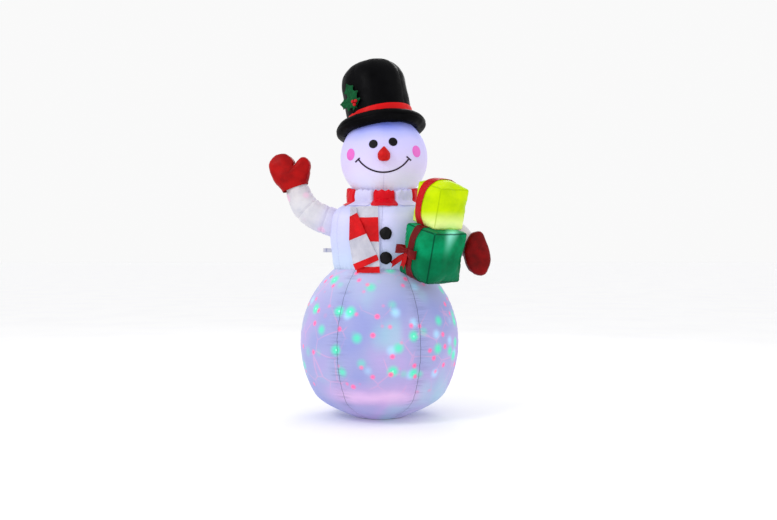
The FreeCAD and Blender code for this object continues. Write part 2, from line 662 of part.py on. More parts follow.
# ---- Tether loops ----
def tether_loop():
    """Folded webbing along -X from x = 0, with an open eye at its far end; its width is along Z."""
    eye_x = -TETHER_LENGTH + TETHER_EYE_RADIUS + WEBBING
    height = TETHER_WEB_WIDTH
    outer = Part.makeCylinder(TETHER_EYE_RADIUS + WEBBING, height)
    outer.translate(Vector(eye_x, 0, -height / 2))
    strap = centred_box(-eye_x, 2 * WEBBING, height, Vector(eye_x / 2, 0, 0))
    eye = Part.makeCylinder(TETHER_EYE_RADIUS, height * 2, Vector(eye_x, 0, -height))
    return outer.fuse(strap).cut(eye).removeSplitter()


def make_tethers():
    for name, azimuth in (("tether_loop_left", 0.0), ("tether_loop_right", 180.0)):
        side = 1 if azimuth == 0.0 else -1
        radius = 201.0 - side * torso_centre_x(TETHER_Z)
        loop = moved(tether_loop(), Vector(-radius + 6.0, 0, TETHER_Z))
        nodes[name] = turned(loop, UP, azimuth).cut(torso_clear)


# ---- Zip at the back ----
def zip_place(shape):
    """Turns a shape made about the +X side of the ball round to the zip's place."""
    return turned(shape, UP, ZIP_AZIMUTH)


def zip_strip(low, high, half_width, half_angle):
    """Strip along the ball's meridian, between two heights above its skin."""
    centre = Vector(BALL_RADIUS - ZIP_ARC_RADIUS, 0, BALL_CENTRE_Z)
    base = centre - Vector(0, half_width, 0)
    across = Vector(0, 1, 0)
    outer = Part.makeCylinder(ZIP_ARC_RADIUS + high, 2 * half_width, base, across)
    inner = Part.makeCylinder(ZIP_ARC_RADIUS + low, 2 * half_width, base, across)
    wedge_low = half_space(centre, turned_vector(Vector(0, 0, 1), half_angle))
    wedge_high = half_space(centre, turned_vector(Vector(0, 0, -1), -half_angle))
    front = half_space(Vector(0, 0, BALL_CENTRE_Z), Vector(1, 0, 0))
    return outer.cut(inner).common(front).common(wedge_low).common(wedge_high)


def turned_vector(vector, degrees):
    return Rotation(Vector(0, 1, 0), degrees).multVec(vector)


def zip_station(shape, degrees):
    """Carries a shape made at the ball's equator along the zip; positive is upwards."""
    centre = Vector(BALL_RADIUS - ZIP_ARC_RADIUS, 0, BALL_CENTRE_Z)
    return zip_place(turned(shape, Vector(0, -1, 0), degrees, centre))


def make_zip():
    tape_low = 0.2
    tape_top = tape_low + ZIP_TAPE_THICKNESS
    nodes["zip_tape"] = zip_place(zip_strip(tape_low, tape_top, ZIP_TAPE_HALF_WIDTH, ZIP_HALF_ANGLE + 1.5))
    pitch = math.degrees(ZIP_TOOTH_PITCH / ZIP_ARC_RADIUS)
    count = int(2 * ZIP_HALF_ANGLE / pitch)
    teeth = []
    skin_x = BALL_RADIUS + tape_top
    for i in range(count + 1):
        side = 0.9 if i % 2 == 0 else -0.9
        tooth = centred_box(ZIP_TOOTH_HEIGHT, 2 * ZIP_TOOTH_HALF_WIDTH - 1.8, 2.6,
                            Vector(skin_x + ZIP_TOOTH_HEIGHT / 2 + 0.02, side, BALL_CENTRE_Z))
        teeth.append(zip_station(tooth, -ZIP_HALF_ANGLE + i * pitch))
    nodes["zip_teeth"] = group(teeth)

    slider_low = skin_x + 0.4
    roof_low = skin_x + ZIP_TOOTH_HEIGHT + 0.4
    roof_top = roof_low + 3.0
    body = Part.makeBox(roof_top - slider_low, 16, 20, Vector(slider_low, -8, BALL_CENTRE_Z - 10))
    channel = Part.makeBox(roof_low - slider_low, 2 * ZIP_TOOTH_HALF_WIDTH + 1.0, 30,
                           Vector(slider_low, -ZIP_TOOTH_HALF_WIDTH - 0.5, BALL_CENTRE_Z - 15))
    body = body.cut(channel)
    pin_x = roof_top + 4.5
    for y in (-4.6, 3.0):
        ear = Part.makeBox(7.5, 1.6, 6, Vector(roof_top - 0.5, y, BALL_CENTRE_Z - 3))
        body = body.fuse(ear)
    pin = Part.makeCylinder(1.2, 8.4, Vector(pin_x, -4.2, BALL_CENTRE_Z), Vector(0, 1, 0))
    body = body.fuse(pin).removeSplitter()
    nodes["zip_slider"] = zip_station(body, ZIP_REST_ANGLE)

    arc_centre_x = BALL_RADIUS - ZIP_ARC_RADIUS
    angle = math.radians(ZIP_REST_ANGLE)
    reach = pin_x - arc_centre_x
    pivot = Vector(arc_centre_x + reach * math.cos(angle), 0, BALL_CENTRE_Z + reach * math.sin(angle))
    eye = Part.makeCylinder(3.2, 5.0, pivot - Vector(0, 2.5, 0), Vector(0, 1, 0))
    tab = Part.makeBox(1.6, 5.0, 12, pivot + Vector(-0.8, -2.5, -14))
    grip = Part.makeBox(1.6, 10.0, 24, pivot + Vector(-0.8, -5.0, -36))
    bore = Part.makeCylinder(1.2 + RUNNING_GAP, 10, pivot - Vector(0, 5, 0), Vector(0, 1, 0))
    pull = eye.fuse(tab).fuse(grip).cut(bore).removeSplitter()
    nodes["zip_pull"] = zip_place(pull)
    world_pivot = Rotation(UP, ZIP_AZIMUTH).multVec(pivot)
    print("zip pull pivot", [round(value, 3) for value in world_pivot])
    world_centre = Rotation(UP, ZIP_AZIMUTH).multVec(Vector(arc_centre_x, 0, BALL_CENTRE_Z))
    print("zip arc centre", [round(value, 3) for value in world_centre])


# ---- Blower ----
def grille(radius, thickness, rings, bars, z):
    rim = tube(radius, radius - 4.0, thickness, z)
    for i in range(1, rings):
        middle = (radius - 4.0) * i / rings
        rim = rim.fuse(tube(middle + 1.2, middle - 1.2, thickness, z))
    for i in range(bars):
        bar = Part.makeBox(radius - 1.0, 2.6, thickness, Vector(0, -1.3, z))
        rim = rim.fuse(turned(bar, UP, 360.0 * i / bars))
    return rim.fuse(Part.makeCylinder(5.0, thickness, Vector(0, 0, z))).removeSplitter()


def make_blower():
    bore = HOUSING_RADIUS - HOUSING_WALL
    housing = tube(HOUSING_RADIUS, bore, HOUSING_DEPTH + FLANGE_THICKNESS, -HOUSING_DEPTH)
    flange = tube(FLANGE_RADIUS, bore, FLANGE_THICKNESS)
    housing = housing.fuse(flange).removeSplitter()
    clamp = tube(FLANGE_RADIUS - 2, HOUSING_RADIUS + CLEAR, 4.0, -SKIN - 4.0)
    screws = []
    for place in screw_places():
        clear_hole = Part.makeCylinder(2.2, 40, place - UP * 20)
        housing = housing.cut(clear_hole)
        clamp = clamp.cut(clear_hole)
        shank = Part.makeCylinder(2.0, 14, place + UP * (FLANGE_THICKNESS - 14))
        head = Part.makeCylinder(4.0, 2.4, place + UP * FLANGE_THICKNESS)
        screws.append(shank.fuse(head).removeSplitter())
    parts = {"blower_housing": housing, "blower_clamp_ring": clamp, "blower_screws": group(screws)}
    parts["intake_grille"] = grille(HOUSING_RADIUS + 4, 3.0, 5, 6, FLANGE_THICKNESS)
    parts["outlet_grille"] = grille(HOUSING_RADIUS, 3.0, 4, 4, -HOUSING_DEPTH - 3.0)

    bracket_z = -50.0
    bracket = tube(18.5, 16.0 + 0.2, 8.0, bracket_z)
    for i in range(3):
        spoke = Part.makeBox(bore - 17.0, 6.0, 4.0, Vector(17.0, -3.0, bracket_z))
        bracket = bracket.fuse(turned(spoke, UP, 120 * i + 30))
    parts["motor_bracket"] = bracket.common(Part.makeCylinder(bore, 20, Vector(0, 0, bracket_z - 5))).removeSplitter()
    motor = Part.makeCylinder(16.0, 30.0, Vector(0, 0, -50))
    motor = motor.cut(Part.makeCylinder(FAN_SHAFT_RADIUS + RUNNING_GAP, 28.0, Vector(0, 0, -46)))
    parts["fan_motor"] = motor
    parts["fan_shaft"] = Part.makeCylinder(FAN_SHAFT_RADIUS, 41.0, Vector(0, 0, -45))

    hub = Part.makeCylinder(18.0, 14.0, Vector(0, 0, -18))
    blade_space = tube(bore - 3.0, 17.0, 16.0, -19.0)
    rotor = hub
    for i in range(FAN_BLADES):
        blade = centred_box(60, 30, 2.2, Vector(34, 0, 0))
        blade = turned(blade, Vector(1, 0, 0), 32)
        blade = moved(blade, Vector(0, 0, -11))
        rotor = rotor.fuse(turned(blade, UP, 360.0 * i / FAN_BLADES).common(blade_space))
    rotor = rotor.cut(Part.makeCylinder(FAN_SHAFT_RADIUS + 0.02, 40, Vector(0, 0, -40)))
    parts["impeller"] = rotor.removeSplitter()

    gland = Part.makeCylinder(9.0, 10.0, Vector(0, 74, FLANGE_THICKNESS))
    gland = gland.fuse(Part.makeCylinder(6.0, 8.0, Vector(0, 74, FLANGE_THICKNESS + 10)))
    parts["cord_gland"] = gland.cut(Part.makeCylinder(3.0, 18.0, Vector(0, 74, FLANGE_THICKNESS)))
    parts["blower_housing"] = parts["blower_housing"].cut(Part.makeCylinder(3.0, 20, Vector(0, 74, -2)))
    for name, shape in parts.items():
        nodes[name] = placed(shape, blower_frame)


# ---- Rotating light inside the ball ----
def make_lamp():
    floor = BASE_PANEL_THICKNESS + LAMP_FEET_HEIGHT
    feet = []
    for i in range(4):
        angle = math.radians(45 + 90 * i)
        place = Vector(48 * math.cos(angle), 48 * math.sin(angle), BASE_PANEL_THICKNESS)
        feet.append(Part.makeCylinder(8.0, LAMP_FEET_HEIGHT, place))
    nodes["lamp_feet"] = group(feet)

    cup = Part.makeCylinder(LAMP_RADIUS, LAMP_CUP_HEIGHT, Vector(0, 0, floor))
    cup = cup.cut(Part.makeCylinder(LAMP_RADIUS - LAMP_WALL, LAMP_CUP_HEIGHT, Vector(0, 0, floor + 3)))
    board_z = floor + 32.0
    for i in range(3):
        angle = math.radians(30 + 120 * i)
        place = Vector(48 * math.cos(angle), 48 * math.sin(angle), floor + 2.5)
        cup = cup.fuse(Part.makeCylinder(4.0, board_z - floor - 2.5, place))
    nodes["lamp_base"] = cup.removeSplitter()

    shaft_radius = 2.0
    motor = Part.makeCylinder(18.0, 22.0, Vector(0, 0, floor + 3))
    motor = motor.cut(Part.makeCylinder(shaft_radius + RUNNING_GAP, 20, Vector(0, 0, floor + 7)))
    nodes["lamp_motor"] = motor
    board = Part.makeCylinder(LAMP_RADIUS - LAMP_WALL - 1.0, 1.6, Vector(0, 0, board_z))
    nodes["lamp_board"] = board.cut(Part.makeCylinder(6.0, 5.0, Vector(0, 0, board_z - 1)))
    leds = []
    for i in range(6):
        angle = math.radians(60 * i)
        foot = Vector(26 * math.cos(angle), 26 * math.sin(angle), board_z + 1.6)
        body = Part.makeCylinder(5.0, 5.0, foot)
        leds.append(body.fuse(Part.makeSphere(5.0, foot + UP * 5.0)).removeSplitter())
    nodes["lamp_leds"] = group(leds)

    dome_z = floor + LAMP_CUP_HEIGHT + 1.0
    upper = half_space(Vector(0, 0, dome_z), UP)
    dome = Part.makeSphere(DOME_RADIUS, Vector(0, 0, dome_z))
    dome = dome.cut(Part.makeSphere(DOME_RADIUS - DOME_WALL, Vector(0, 0, dome_z))).common(upper)
    dome = dome.fuse(tube(DOME_RADIUS + 3, DOME_RADIUS - 1.5, 4.0, dome_z))
    for elevation, count in DOME_LENS_ROWS:
        for i in range(count):
            direction = toward(9.0 + 360.0 * i / count, elevation)
            middle = Vector(0, 0, dome_z) + direction * (DOME_RADIUS - DOME_WALL / 2)
            dome = dome.fuse(Part.makeCylinder(DOME_LENS_RADIUS, DOME_LENS_DEPTH, middle, direction))
    nodes["lens_dome"] = dome.removeSplitter()

    spindle = Part.makeCylinder(shaft_radius, dome_z + 4.0 - floor - 8.0, Vector(0, 0, floor + 8))
    spindle = spindle.fuse(Part.makeCylinder(8.0, 4.0, Vector(0, 0, dome_z)))
    for i in range(3):
        arm = Part.makeBox(DOME_RADIUS - DOME_WALL - 6.3, 5.0, 3.0, Vector(6.0, -2.5, dome_z))
        spindle = spindle.fuse(turned(arm, UP, 120 * i))
    nodes["dome_spindle"] = spindle.removeSplitter()


# ---- Light pods and leads inside the skins ----
LAMP_LEAD = [Vector(0, 222, 130), Vector(0, 204, 84), Vector(0, 178, 44), Vector(0, 128, 18), Vector(0, 94, 11),
             Vector(0, 66, 12)]
RISER_LEAD = [Vector(0, 265, 248), Vector(0, 276, 286), Vector(3, 288, 336), Vector(2, 284, 392),
              Vector(-3, 262, 450), Vector(-4, 228, 505), Vector(0, 190, 556), Vector(4, 166, 612),
              Vector(4, 168, 668), Vector(6, 178, 720), Vector(8, 176, 772), Vector(12, 152, 826),
              Vector(16, 112, 872), Vector(18, 84, 924), Vector(18, 92, 976), Vector(18, 120, 1020)]


def pod(centre):
    """Small lamp housing, flat towards the back, with its lens to the front."""
    body = centred_box(44, 18, 30, centre)
    return body.makeFillet(4.0, body.Edges)


def make_leads():
    nodes["lamp_lead"] = lead(LAMP_LEAD)
    riser = lead(RISER_LEAD)
    torso_pod = Vector(7, 192 - 25, 745)
    head_pod = Vector(18, 133, 1036)
    near_riser = lead(RISER_LEAD, LEAD_RADIUS + 0.3)
    torso_body = pod(torso_pod).cut(near_riser)
    nodes["torso_light_pod"] = max(torso_body.Solids, key=lambda solid: solid.Volume)
    nodes["head_light_pod"] = pod(head_pod).cut(near_riser)
    nodes["riser_lead"] = riser
    lenses = []
    for centre in (torso_pod, head_pod):
        cap = turned(lens(11.0, 6.0), Vector(1, 0, 0), 90)
        lenses.append(moved(cap, centre - Vector(0, 9.0, 0)))
    nodes["pod_lenses"] = group(lenses)


def write_parts():
    os.makedirs("parts", exist_ok=True)
    for name, shape in nodes.items():
        valid = shape.isValid() and len(shape.Solids) > 0
        closed = all(solid.isClosed() for solid in shape.Solids)
        if not (valid and closed):
            print("NOT VALID", name, len(shape.Solids))
        shape.exportStep("parts/%s.step" % name)
    box = group(list(nodes.values())).BoundBox
    print(len(nodes), "nodes; box", [round(value, 1) for value in
                                     (box.XMin, box.XMax, box.YMin, box.YMax, box.ZMin, box.ZMax)])


make_ball()
make_head()
make_arms()
make_hat()
make_holly()
make_face()
make_collar()
make_scarf_tails()
make_buttons()
make_gifts()
make_tethers()
make_zip()
make_blower()
make_lamp()
make_leads()
write_parts()
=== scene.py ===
import math
import bpy
from mathutils import Matrix, Vector, noise


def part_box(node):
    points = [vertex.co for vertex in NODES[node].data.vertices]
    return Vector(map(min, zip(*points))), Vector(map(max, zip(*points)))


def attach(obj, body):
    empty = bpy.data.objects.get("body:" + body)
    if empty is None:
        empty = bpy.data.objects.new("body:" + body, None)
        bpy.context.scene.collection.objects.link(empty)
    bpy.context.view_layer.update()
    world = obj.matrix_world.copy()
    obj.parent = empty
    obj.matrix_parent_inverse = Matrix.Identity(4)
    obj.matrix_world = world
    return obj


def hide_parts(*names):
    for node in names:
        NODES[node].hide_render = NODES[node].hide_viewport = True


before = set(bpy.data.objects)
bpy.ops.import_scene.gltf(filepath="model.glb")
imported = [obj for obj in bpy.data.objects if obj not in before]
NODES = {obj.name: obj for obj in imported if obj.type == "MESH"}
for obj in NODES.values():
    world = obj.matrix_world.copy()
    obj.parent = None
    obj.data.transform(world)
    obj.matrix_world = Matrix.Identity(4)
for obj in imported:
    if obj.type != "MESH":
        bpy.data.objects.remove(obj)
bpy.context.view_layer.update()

# Inflatable yard snowman, dressed around its imported model. Metres, +Z up, the face looks along -Y.


# ---- Sizes: some read from the frame, the rest given as numbers ----
def corners(node):
    low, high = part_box(node)
    return Vector(low), Vector(high)


def middle(node):
    low, high = corners(node)
    return (low + high) / 2


BALL_RADIUS = (corners("ball_shell")[1].x - corners("ball_shell")[0].x) / 2
WAIST_Z = corners("ball_shell")[1].z
BALL_CENTRE_Z = 0.310
BALL_HALF_HEIGHT = 0.372
FOOT_Z = 0.100
FOOT_DRAW_IN = 0.42
GORES = 6
HEAD_PANELS = 4
PANEL_ANGLE = 36
CROWN_PANELS = 4

HEAD_RADIUS = (corners("head_shell")[1].x - corners("head_shell")[0].x) / 2
HEAD_CENTRE = Vector((middle("head_shell").x, 0.0, 1.074))
NECK_Z = corners("head_shell")[0].z
NECK_RADIUS = math.sqrt(HEAD_RADIUS ** 2 - (HEAD_CENTRE.z - NECK_Z) ** 2)
TORSO_PROFILE = [(0.642, 0.1955), (0.672, 0.199), (0.704, 0.2025), (0.735, 0.2046), (0.763, 0.205),
                 (0.790, 0.2046), (0.812, 0.2038), (0.832, 0.2015), (0.846, 0.1975), (0.858, 0.191),
                 (0.867, 0.1825), (0.875, 0.171), (0.883, 0.155), (0.892, 0.137), (0.902, 0.122),
                 (0.912, 0.1125)]

BRIM_RING_RADIUS = 0.162
BRIM_TUBE_RADIUS = 0.028
HAT_LEAN_BACK = 9.0
BRIM_TILT = 7.0
CROWN_TILT = 11.0
CROWN_BASE = Vector((0.010, 0.020, 1.206))
CROWN_RADIUS = 0.136
CROWN_WALL = 0.190
CROWN_HEIGHT = 0.286
BAND_TOP = 0.060

COLLAR_CENTRE = Vector((0.012, 0.0, 0.916))
COLLAR_RADIUS = 0.151
COLLAR_THICKNESS = 0.024
COLLAR_HEIGHT = 0.064
COLLAR_TILT = 7.0
COLLAR_PANELS = 10
COLLAR_FIRST_EDGE = -15.0

GREEN_WIDTH = 0.172
GREEN_HEIGHT = 0.200
YELLOW_WIDTH = 0.138
YELLOW_HEIGHT = 0.154
GIFT_PITCH = 14.0
GIFT_ROLL = 9.0
GREEN_YAW = 40.0
YELLOW_YAW = 37.0
RIBBON_WIDTH = 0.033
RIBBON_CORNER = 0.020

FIGURE = "figure"
CLOTH_MASS = 0.2
BLOW_FRAMES = 20


# ---- Camera, light and floor ----
def set_camera():
    data = bpy.data.cameras.new("camera")
    data.sensor_width = 36.0
    data.lens = 38.6
    camera = bpy.data.objects.new("camera", data)
    camera.location = (0.037, -3.5, 0.65)
    camera.rotation_euler = (math.radians(90), 0, 0)
    bpy.context.scene.collection.objects.link(camera)
    bpy.context.scene.camera = camera


def area_light(name, place, target, size, energy, colour=(1, 1, 1)):
    data = bpy.data.lights.new(name, "AREA")
    data.shape = "DISK"
    data.size = size
    data.energy = energy
    data.color = colour
    light = bpy.data.objects.new(name, data)
    light.location = place
    light.rotation_euler = (Vector(target) - Vector(place)).to_track_quat("-Z", "Y").to_euler()
    bpy.context.scene.collection.objects.link(light)


def set_studio():
    world = bpy.data.worlds.new("studio")
    world.use_nodes = True
    background = world.node_tree.nodes["Background"]
    background.inputs["Color"].default_value = (1.0, 1.0, 1.0, 1)
    background.inputs["Strength"].default_value = 0.95
    bpy.context.scene.world = world
    bpy.context.scene.view_settings.view_transform = "Standard"
    area_light("key", (-2.4, -2.6, 3.0), (0, 0, 0.7), 1.3, 44)
    area_light("fill", (3.2, -2.0, 1.8), (0, 0, 0.8), 2.2, 8)
    area_light("rim", (0.6, 2.8, 2.6), (0, 0, 1.0), 1.6, 20)


# ---- Mesh helpers ----
def only(piece):
    bpy.ops.object.select_all(action="DESELECT")
    piece.select_set(True)
    bpy.context.view_layer.objects.active = piece


def edit(piece):
    only(piece)
    bpy.ops.object.mode_set(mode="EDIT")
    bpy.ops.mesh.select_all(action="SELECT")


def leave_edit():
    bpy.ops.object.mode_set(mode="OBJECT")


def apply_place(piece):
    only(piece)
    bpy.ops.object.transform_apply(location=True, rotation=True, scale=True)


def apply_modifiers(piece):
    only(piece)
    for modifier in list(piece.modifiers):
        bpy.ops.object.modifier_apply(modifier=modifier.name)


def laid(name, across, along, rule, weld=True):
    """Sheet of faces laid onto a shape: rule(u, v) gives each point's place, u and v from 0 to 1."""
    bpy.ops.object.select_all(action="DESELECT")
    bpy.ops.mesh.primitive_grid_add(x_subdivisions=across, y_subdivisions=along, size=1,
                                    location=(0.5, 0.5, 0))
    piece = bpy.context.object
    piece.name = name
    apply_place(piece)
    for vertex in piece.data.vertices:
        vertex.co = rule(vertex.co.x, vertex.co.y)
    edit(piece)
    if weld:
        bpy.ops.mesh.remove_doubles(threshold=0.00005)
        bpy.ops.mesh.normals_make_consistent(inside=False)
    leave_edit()
    return piece


def smooth(piece, angle=None):
    only(piece)
    if angle is None:
        bpy.ops.object.shade_smooth()
    else:
        bpy.ops.object.shade_smooth_by_angle(angle=math.radians(angle))


def walled(piece, thickness, offset=-1.0):
    wall = piece.modifiers.new("Wall", "SOLIDIFY")
    wall.thickness = thickness
    wall.offset = offset
    apply_modifiers(piece)


def joined(name, parts):
    bpy.ops.object.select_all(action="DESELECT")
    for part in parts:
        part.select_set(True)
    bpy.context.view_layer.objects.active = parts[0]
    bpy.ops.object.join()
    piece = bpy.context.object
    piece.name = name
    return piece


def finished(piece, material, slot, *replaced, body=FIGURE):
    if material is not None:
        piece.data.materials.clear()
        piece.data.materials.append(material)
    if replaced:
        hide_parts(*replaced)
    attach(piece, body)
    return piece


def subdivided(piece):
    fine = piece.modifiers.new("Fine", "SUBSURF")
    fine.levels = 1
    fine.render_levels = 1
    apply_modifiers(piece)


def curve_value(points, at):
    """Smooth curve through (position, value) points."""
    if at <= points[0][0]:
        return points[0][1]
    if at >= points[-1][0]:
        return points[-1][1]
    for i in range(len(points) - 1):
        if at <= points[i + 1][0]:
            break
    p1, p2 = points[i], points[i + 1]
    p0 = points[i - 1] if i > 0 else p1
    p3 = points[i + 2] if i + 2 < len(points) else p2
    span = p2[0] - p1[0]
    t = (at - p1[0]) / span
    m1 = (p2[1] - p0[1]) / max(p2[0] - p0[0], 1e-9) * span
    m2 = (p3[1] - p1[1]) / max(p3[0] - p1[0], 1e-9) * span
    return ((2 * t ** 3 - 3 * t ** 2 + 1) * p1[1] + (t ** 3 - 2 * t ** 2 + t) * m1
            + (-2 * t ** 3 + 3 * t ** 2) * p2[1] + (t ** 3 - t ** 2) * m2)


def crease(distance, width):
    return math.exp(-(distance / width) ** 2)


def ripple(x, y, z=0.0):
    return noise.noise(Vector((x, y, z)))


def round_ripple(angle, scale, z):
    """Ripple that closes on itself round a ring."""
    return ripple(math.cos(angle) * scale, math.sin(angle) * scale, z)


def ring_point(radius, angle, z):
    return Vector((radius * math.cos(angle), radius * math.sin(angle), z))


def seam_gap(u, panels, girth):
    """Distance round a skin of equal panels to its nearest seam."""
    gore = (u * panels) % 1.0
    return min(gore, 1 - gore) * girth / panels


def off_head(point, clear):
    """Keeps a point at least this far outside the head."""
    away = point - HEAD_CENTRE
    if away.length < HEAD_RADIUS + clear:
        return HEAD_CENTRE + away.normalized() * (HEAD_RADIUS + clear)
    return point


def inflate(piece, pressure, cap, tension=18.0, bending=0.4):
    """Blows a closed cloth shape up, then keeps each point within cap of where it began."""
    before = [vertex.co.copy() for vertex in piece.data.vertices]
    only(piece)
    air = piece.modifiers.new("Air", "CLOTH")
    settings = air.settings
    settings.use_pressure = True
    settings.uniform_pressure_force = pressure
    settings.effector_weights.gravity = 0
    settings.mass = CLOTH_MASS
    settings.quality = 5
    settings.tension_stiffness = tension
    settings.compression_stiffness = tension
    settings.bending_stiffness = bending
    air.point_cache.frame_start = 1
    air.point_cache.frame_end = BLOW_FRAMES
    for step in range(1, BLOW_FRAMES + 1):
        bpy.context.scene.frame_set(step)
    bpy.ops.object.modifier_apply(modifier=air.name)
    bpy.context.scene.frame_set(1)
    for vertex, start in zip(piece.data.vertices, before):
        shift = vertex.co - start
        if shift.length > cap:
            vertex.co = start + shift * (cap / shift.length)


# ---- Material helpers ----
class Finish:
    """A Principled material and the nodes that feed it."""

    def __init__(self, name, roughness=0.6, sheen=0.0, coat=0.0, metallic=0.0, specular=0.18, alpha=1.0):
        self.material = bpy.data.materials.new(name)
        self.material.use_nodes = True
        self.tree = self.material.node_tree
        self.shader = self.tree.nodes["Principled BSDF"]
        values = {"Roughness": roughness, "Sheen Weight": sheen, "Coat Weight": coat, "Metallic": metallic,
                  "Specular IOR Level": specular, "Alpha": alpha, "Sheen Roughness": 0.5,
                  "Coat Roughness": 0.25}
        for socket, value in values.items():
            self.shader.inputs[socket].default_value = value
        self.place = self.tree.nodes.new("ShaderNodeTexCoord").outputs["Object"]
        self.normal = None

    def feed(self, socket, value):
        if isinstance(value, bpy.types.NodeSocket):
            self.tree.links.new(value, socket)
        else:
            socket.default_value = value

    def math(self, operation, first, second=0.0):
        node = self.tree.nodes.new("ShaderNodeMath")
        node.operation = operation
        for socket, value in zip(node.inputs, (first, second)):
            self.feed(socket, value)
        return node.outputs[0]

    def times(self, first, second):
        return self.math("MULTIPLY", first, second)

    def gap(self, value, centre):
        """How far a value is from a centre."""
        return self.math("ABSOLUTE", self.math("SUBTRACT", value, centre))

    def axis(self, vector=None):
        node = self.tree.nodes.new("ShaderNodeSeparateXYZ")
        self.feed(node.inputs[0], vector or self.place)
        return node.outputs

    def own_axis(self):
        """Across and along the piece, from its own UV map."""
        return self.axis(self.tree.nodes.new("ShaderNodeUVMap").outputs[0])

    def stretched(self, x, y, z, vector=None):
        node = self.tree.nodes.new("ShaderNodeMapping")
        self.feed(node.inputs["Vector"], vector or self.place)
        node.inputs["Scale"].default_value = (x, y, z)
        return node.outputs[0]

    def noise(self, scale, detail=3.0, vector=None, roughness=0.55):
        node = self.tree.nodes.new("ShaderNodeTexNoise")
        self.feed(node.inputs["Vector"], vector or self.place)
        node.inputs["Scale"].default_value = scale
        node.inputs["Detail"].default_value = detail
        node.inputs["Roughness"].default_value = roughness
        return node.outputs["Fac"]

    def cells(self, scale, shift, feature="F1"):
        """Distance from scattered points, and a random colour for each point's cell."""
        moved = self.tree.nodes.new("ShaderNodeMapping")
        self.feed(moved.inputs["Vector"], self.place)
        moved.inputs["Location"].default_value = shift
        node = self.tree.nodes.new("ShaderNodeTexVoronoi")
        node.feature = feature
        self.feed(node.inputs["Vector"], moved.outputs[0])
        node.inputs["Scale"].default_value = scale
        colour = node.outputs["Color"] if feature == "F1" else None
        return node.outputs["Distance"], colour

    def band(self, value, low, high, to_low=0.0, to_high=1.0):
        """Soft ramp of a value between two limits."""
        node = self.tree.nodes.new("ShaderNodeMapRange")
        self.feed(node.inputs["Value"], value)
        node.inputs["From Min"].default_value = low
        node.inputs["From Max"].default_value = high
        node.inputs["To Min"].default_value = to_low
        node.inputs["To Max"].default_value = to_high
        node.interpolation_type = "SMOOTHSTEP"
        return node.outputs["Result"]

    def mix(self, factor, first, second):
        node = self.tree.nodes.new("ShaderNodeMix")
        node.data_type = "RGBA"
        self.feed(node.inputs["Factor"], factor)
        for socket, value in ((node.inputs[6], first), (node.inputs[7], second)):
            self.feed(socket, value if isinstance(value, bpy.types.NodeSocket) else (*value, 1.0))
        return node.outputs[2]

    def blend_along(self, factor, stops):
        node = self.tree.nodes.new("ShaderNodeValToRGB")
        self.feed(node.inputs["Fac"], factor)
        ramp = node.color_ramp
        while len(ramp.elements) < len(stops):
            ramp.elements.new(0.5)
        for element, (position, colour) in zip(ramp.elements, stops):
            element.position = position
            element.color = (*colour, 1.0)
        return node.outputs["Color"]

    def bump(self, height, depth, strength=1.0):
        node = self.tree.nodes.new("ShaderNodeBump")
        self.feed(node.inputs["Height"], height)
        node.inputs["Distance"].default_value = depth
        node.inputs["Strength"].default_value = strength
        if self.normal is not None:
            self.feed(node.inputs["Normal"], self.normal)
        self.normal = node.outputs["Normal"]

    def weave(self, period=0.0018, depth=0.00012):
        scale = 0.314 / period
        threads = []
        for direction in ("X", "Z"):
            node = self.tree.nodes.new("ShaderNodeTexWave")
            node.bands_direction = direction
            self.feed(node.inputs["Vector"], self.place)
            node.inputs["Scale"].default_value = scale
            node.inputs["Distortion"].default_value = 0.4
            threads.append(node.outputs["Fac"])
        self.bump(self.times(threads[0], threads[1]), depth, 0.6)

    def done(self, colour, glow=None, glow_strength=0.0, roughness=None):
        self.feed(self.shader.inputs["Base Color"], colour if isinstance(colour, bpy.types.NodeSocket)
                  else (*colour, 1.0))
        if glow is not None:
            self.feed(self.shader.inputs["Emission Color"], glow)
            self.shader.inputs["Emission Strength"].default_value = glow_strength
        if roughness is not None:
            self.feed(self.shader.inputs["Roughness"], roughness)
        if self.normal is not None:
            self.feed(self.shader.inputs["Normal"], self.normal)
        return self.material


def seam_line(finish, panels, shift, half_width, girth):
    """1 on the seams of a skin made of equal upright panels, by its own UV map."""
    u = finish.own_axis()[0]
    turns = finish.math("FRACT", finish.math("ADD", finish.times(u, float(panels)), shift))
    away = finish.gap(turns, 0.5)
    limit = half_width * panels / girth
    return finish.band(away, limit * 0.4, limit * 1.6, 1.0, 0.0), away


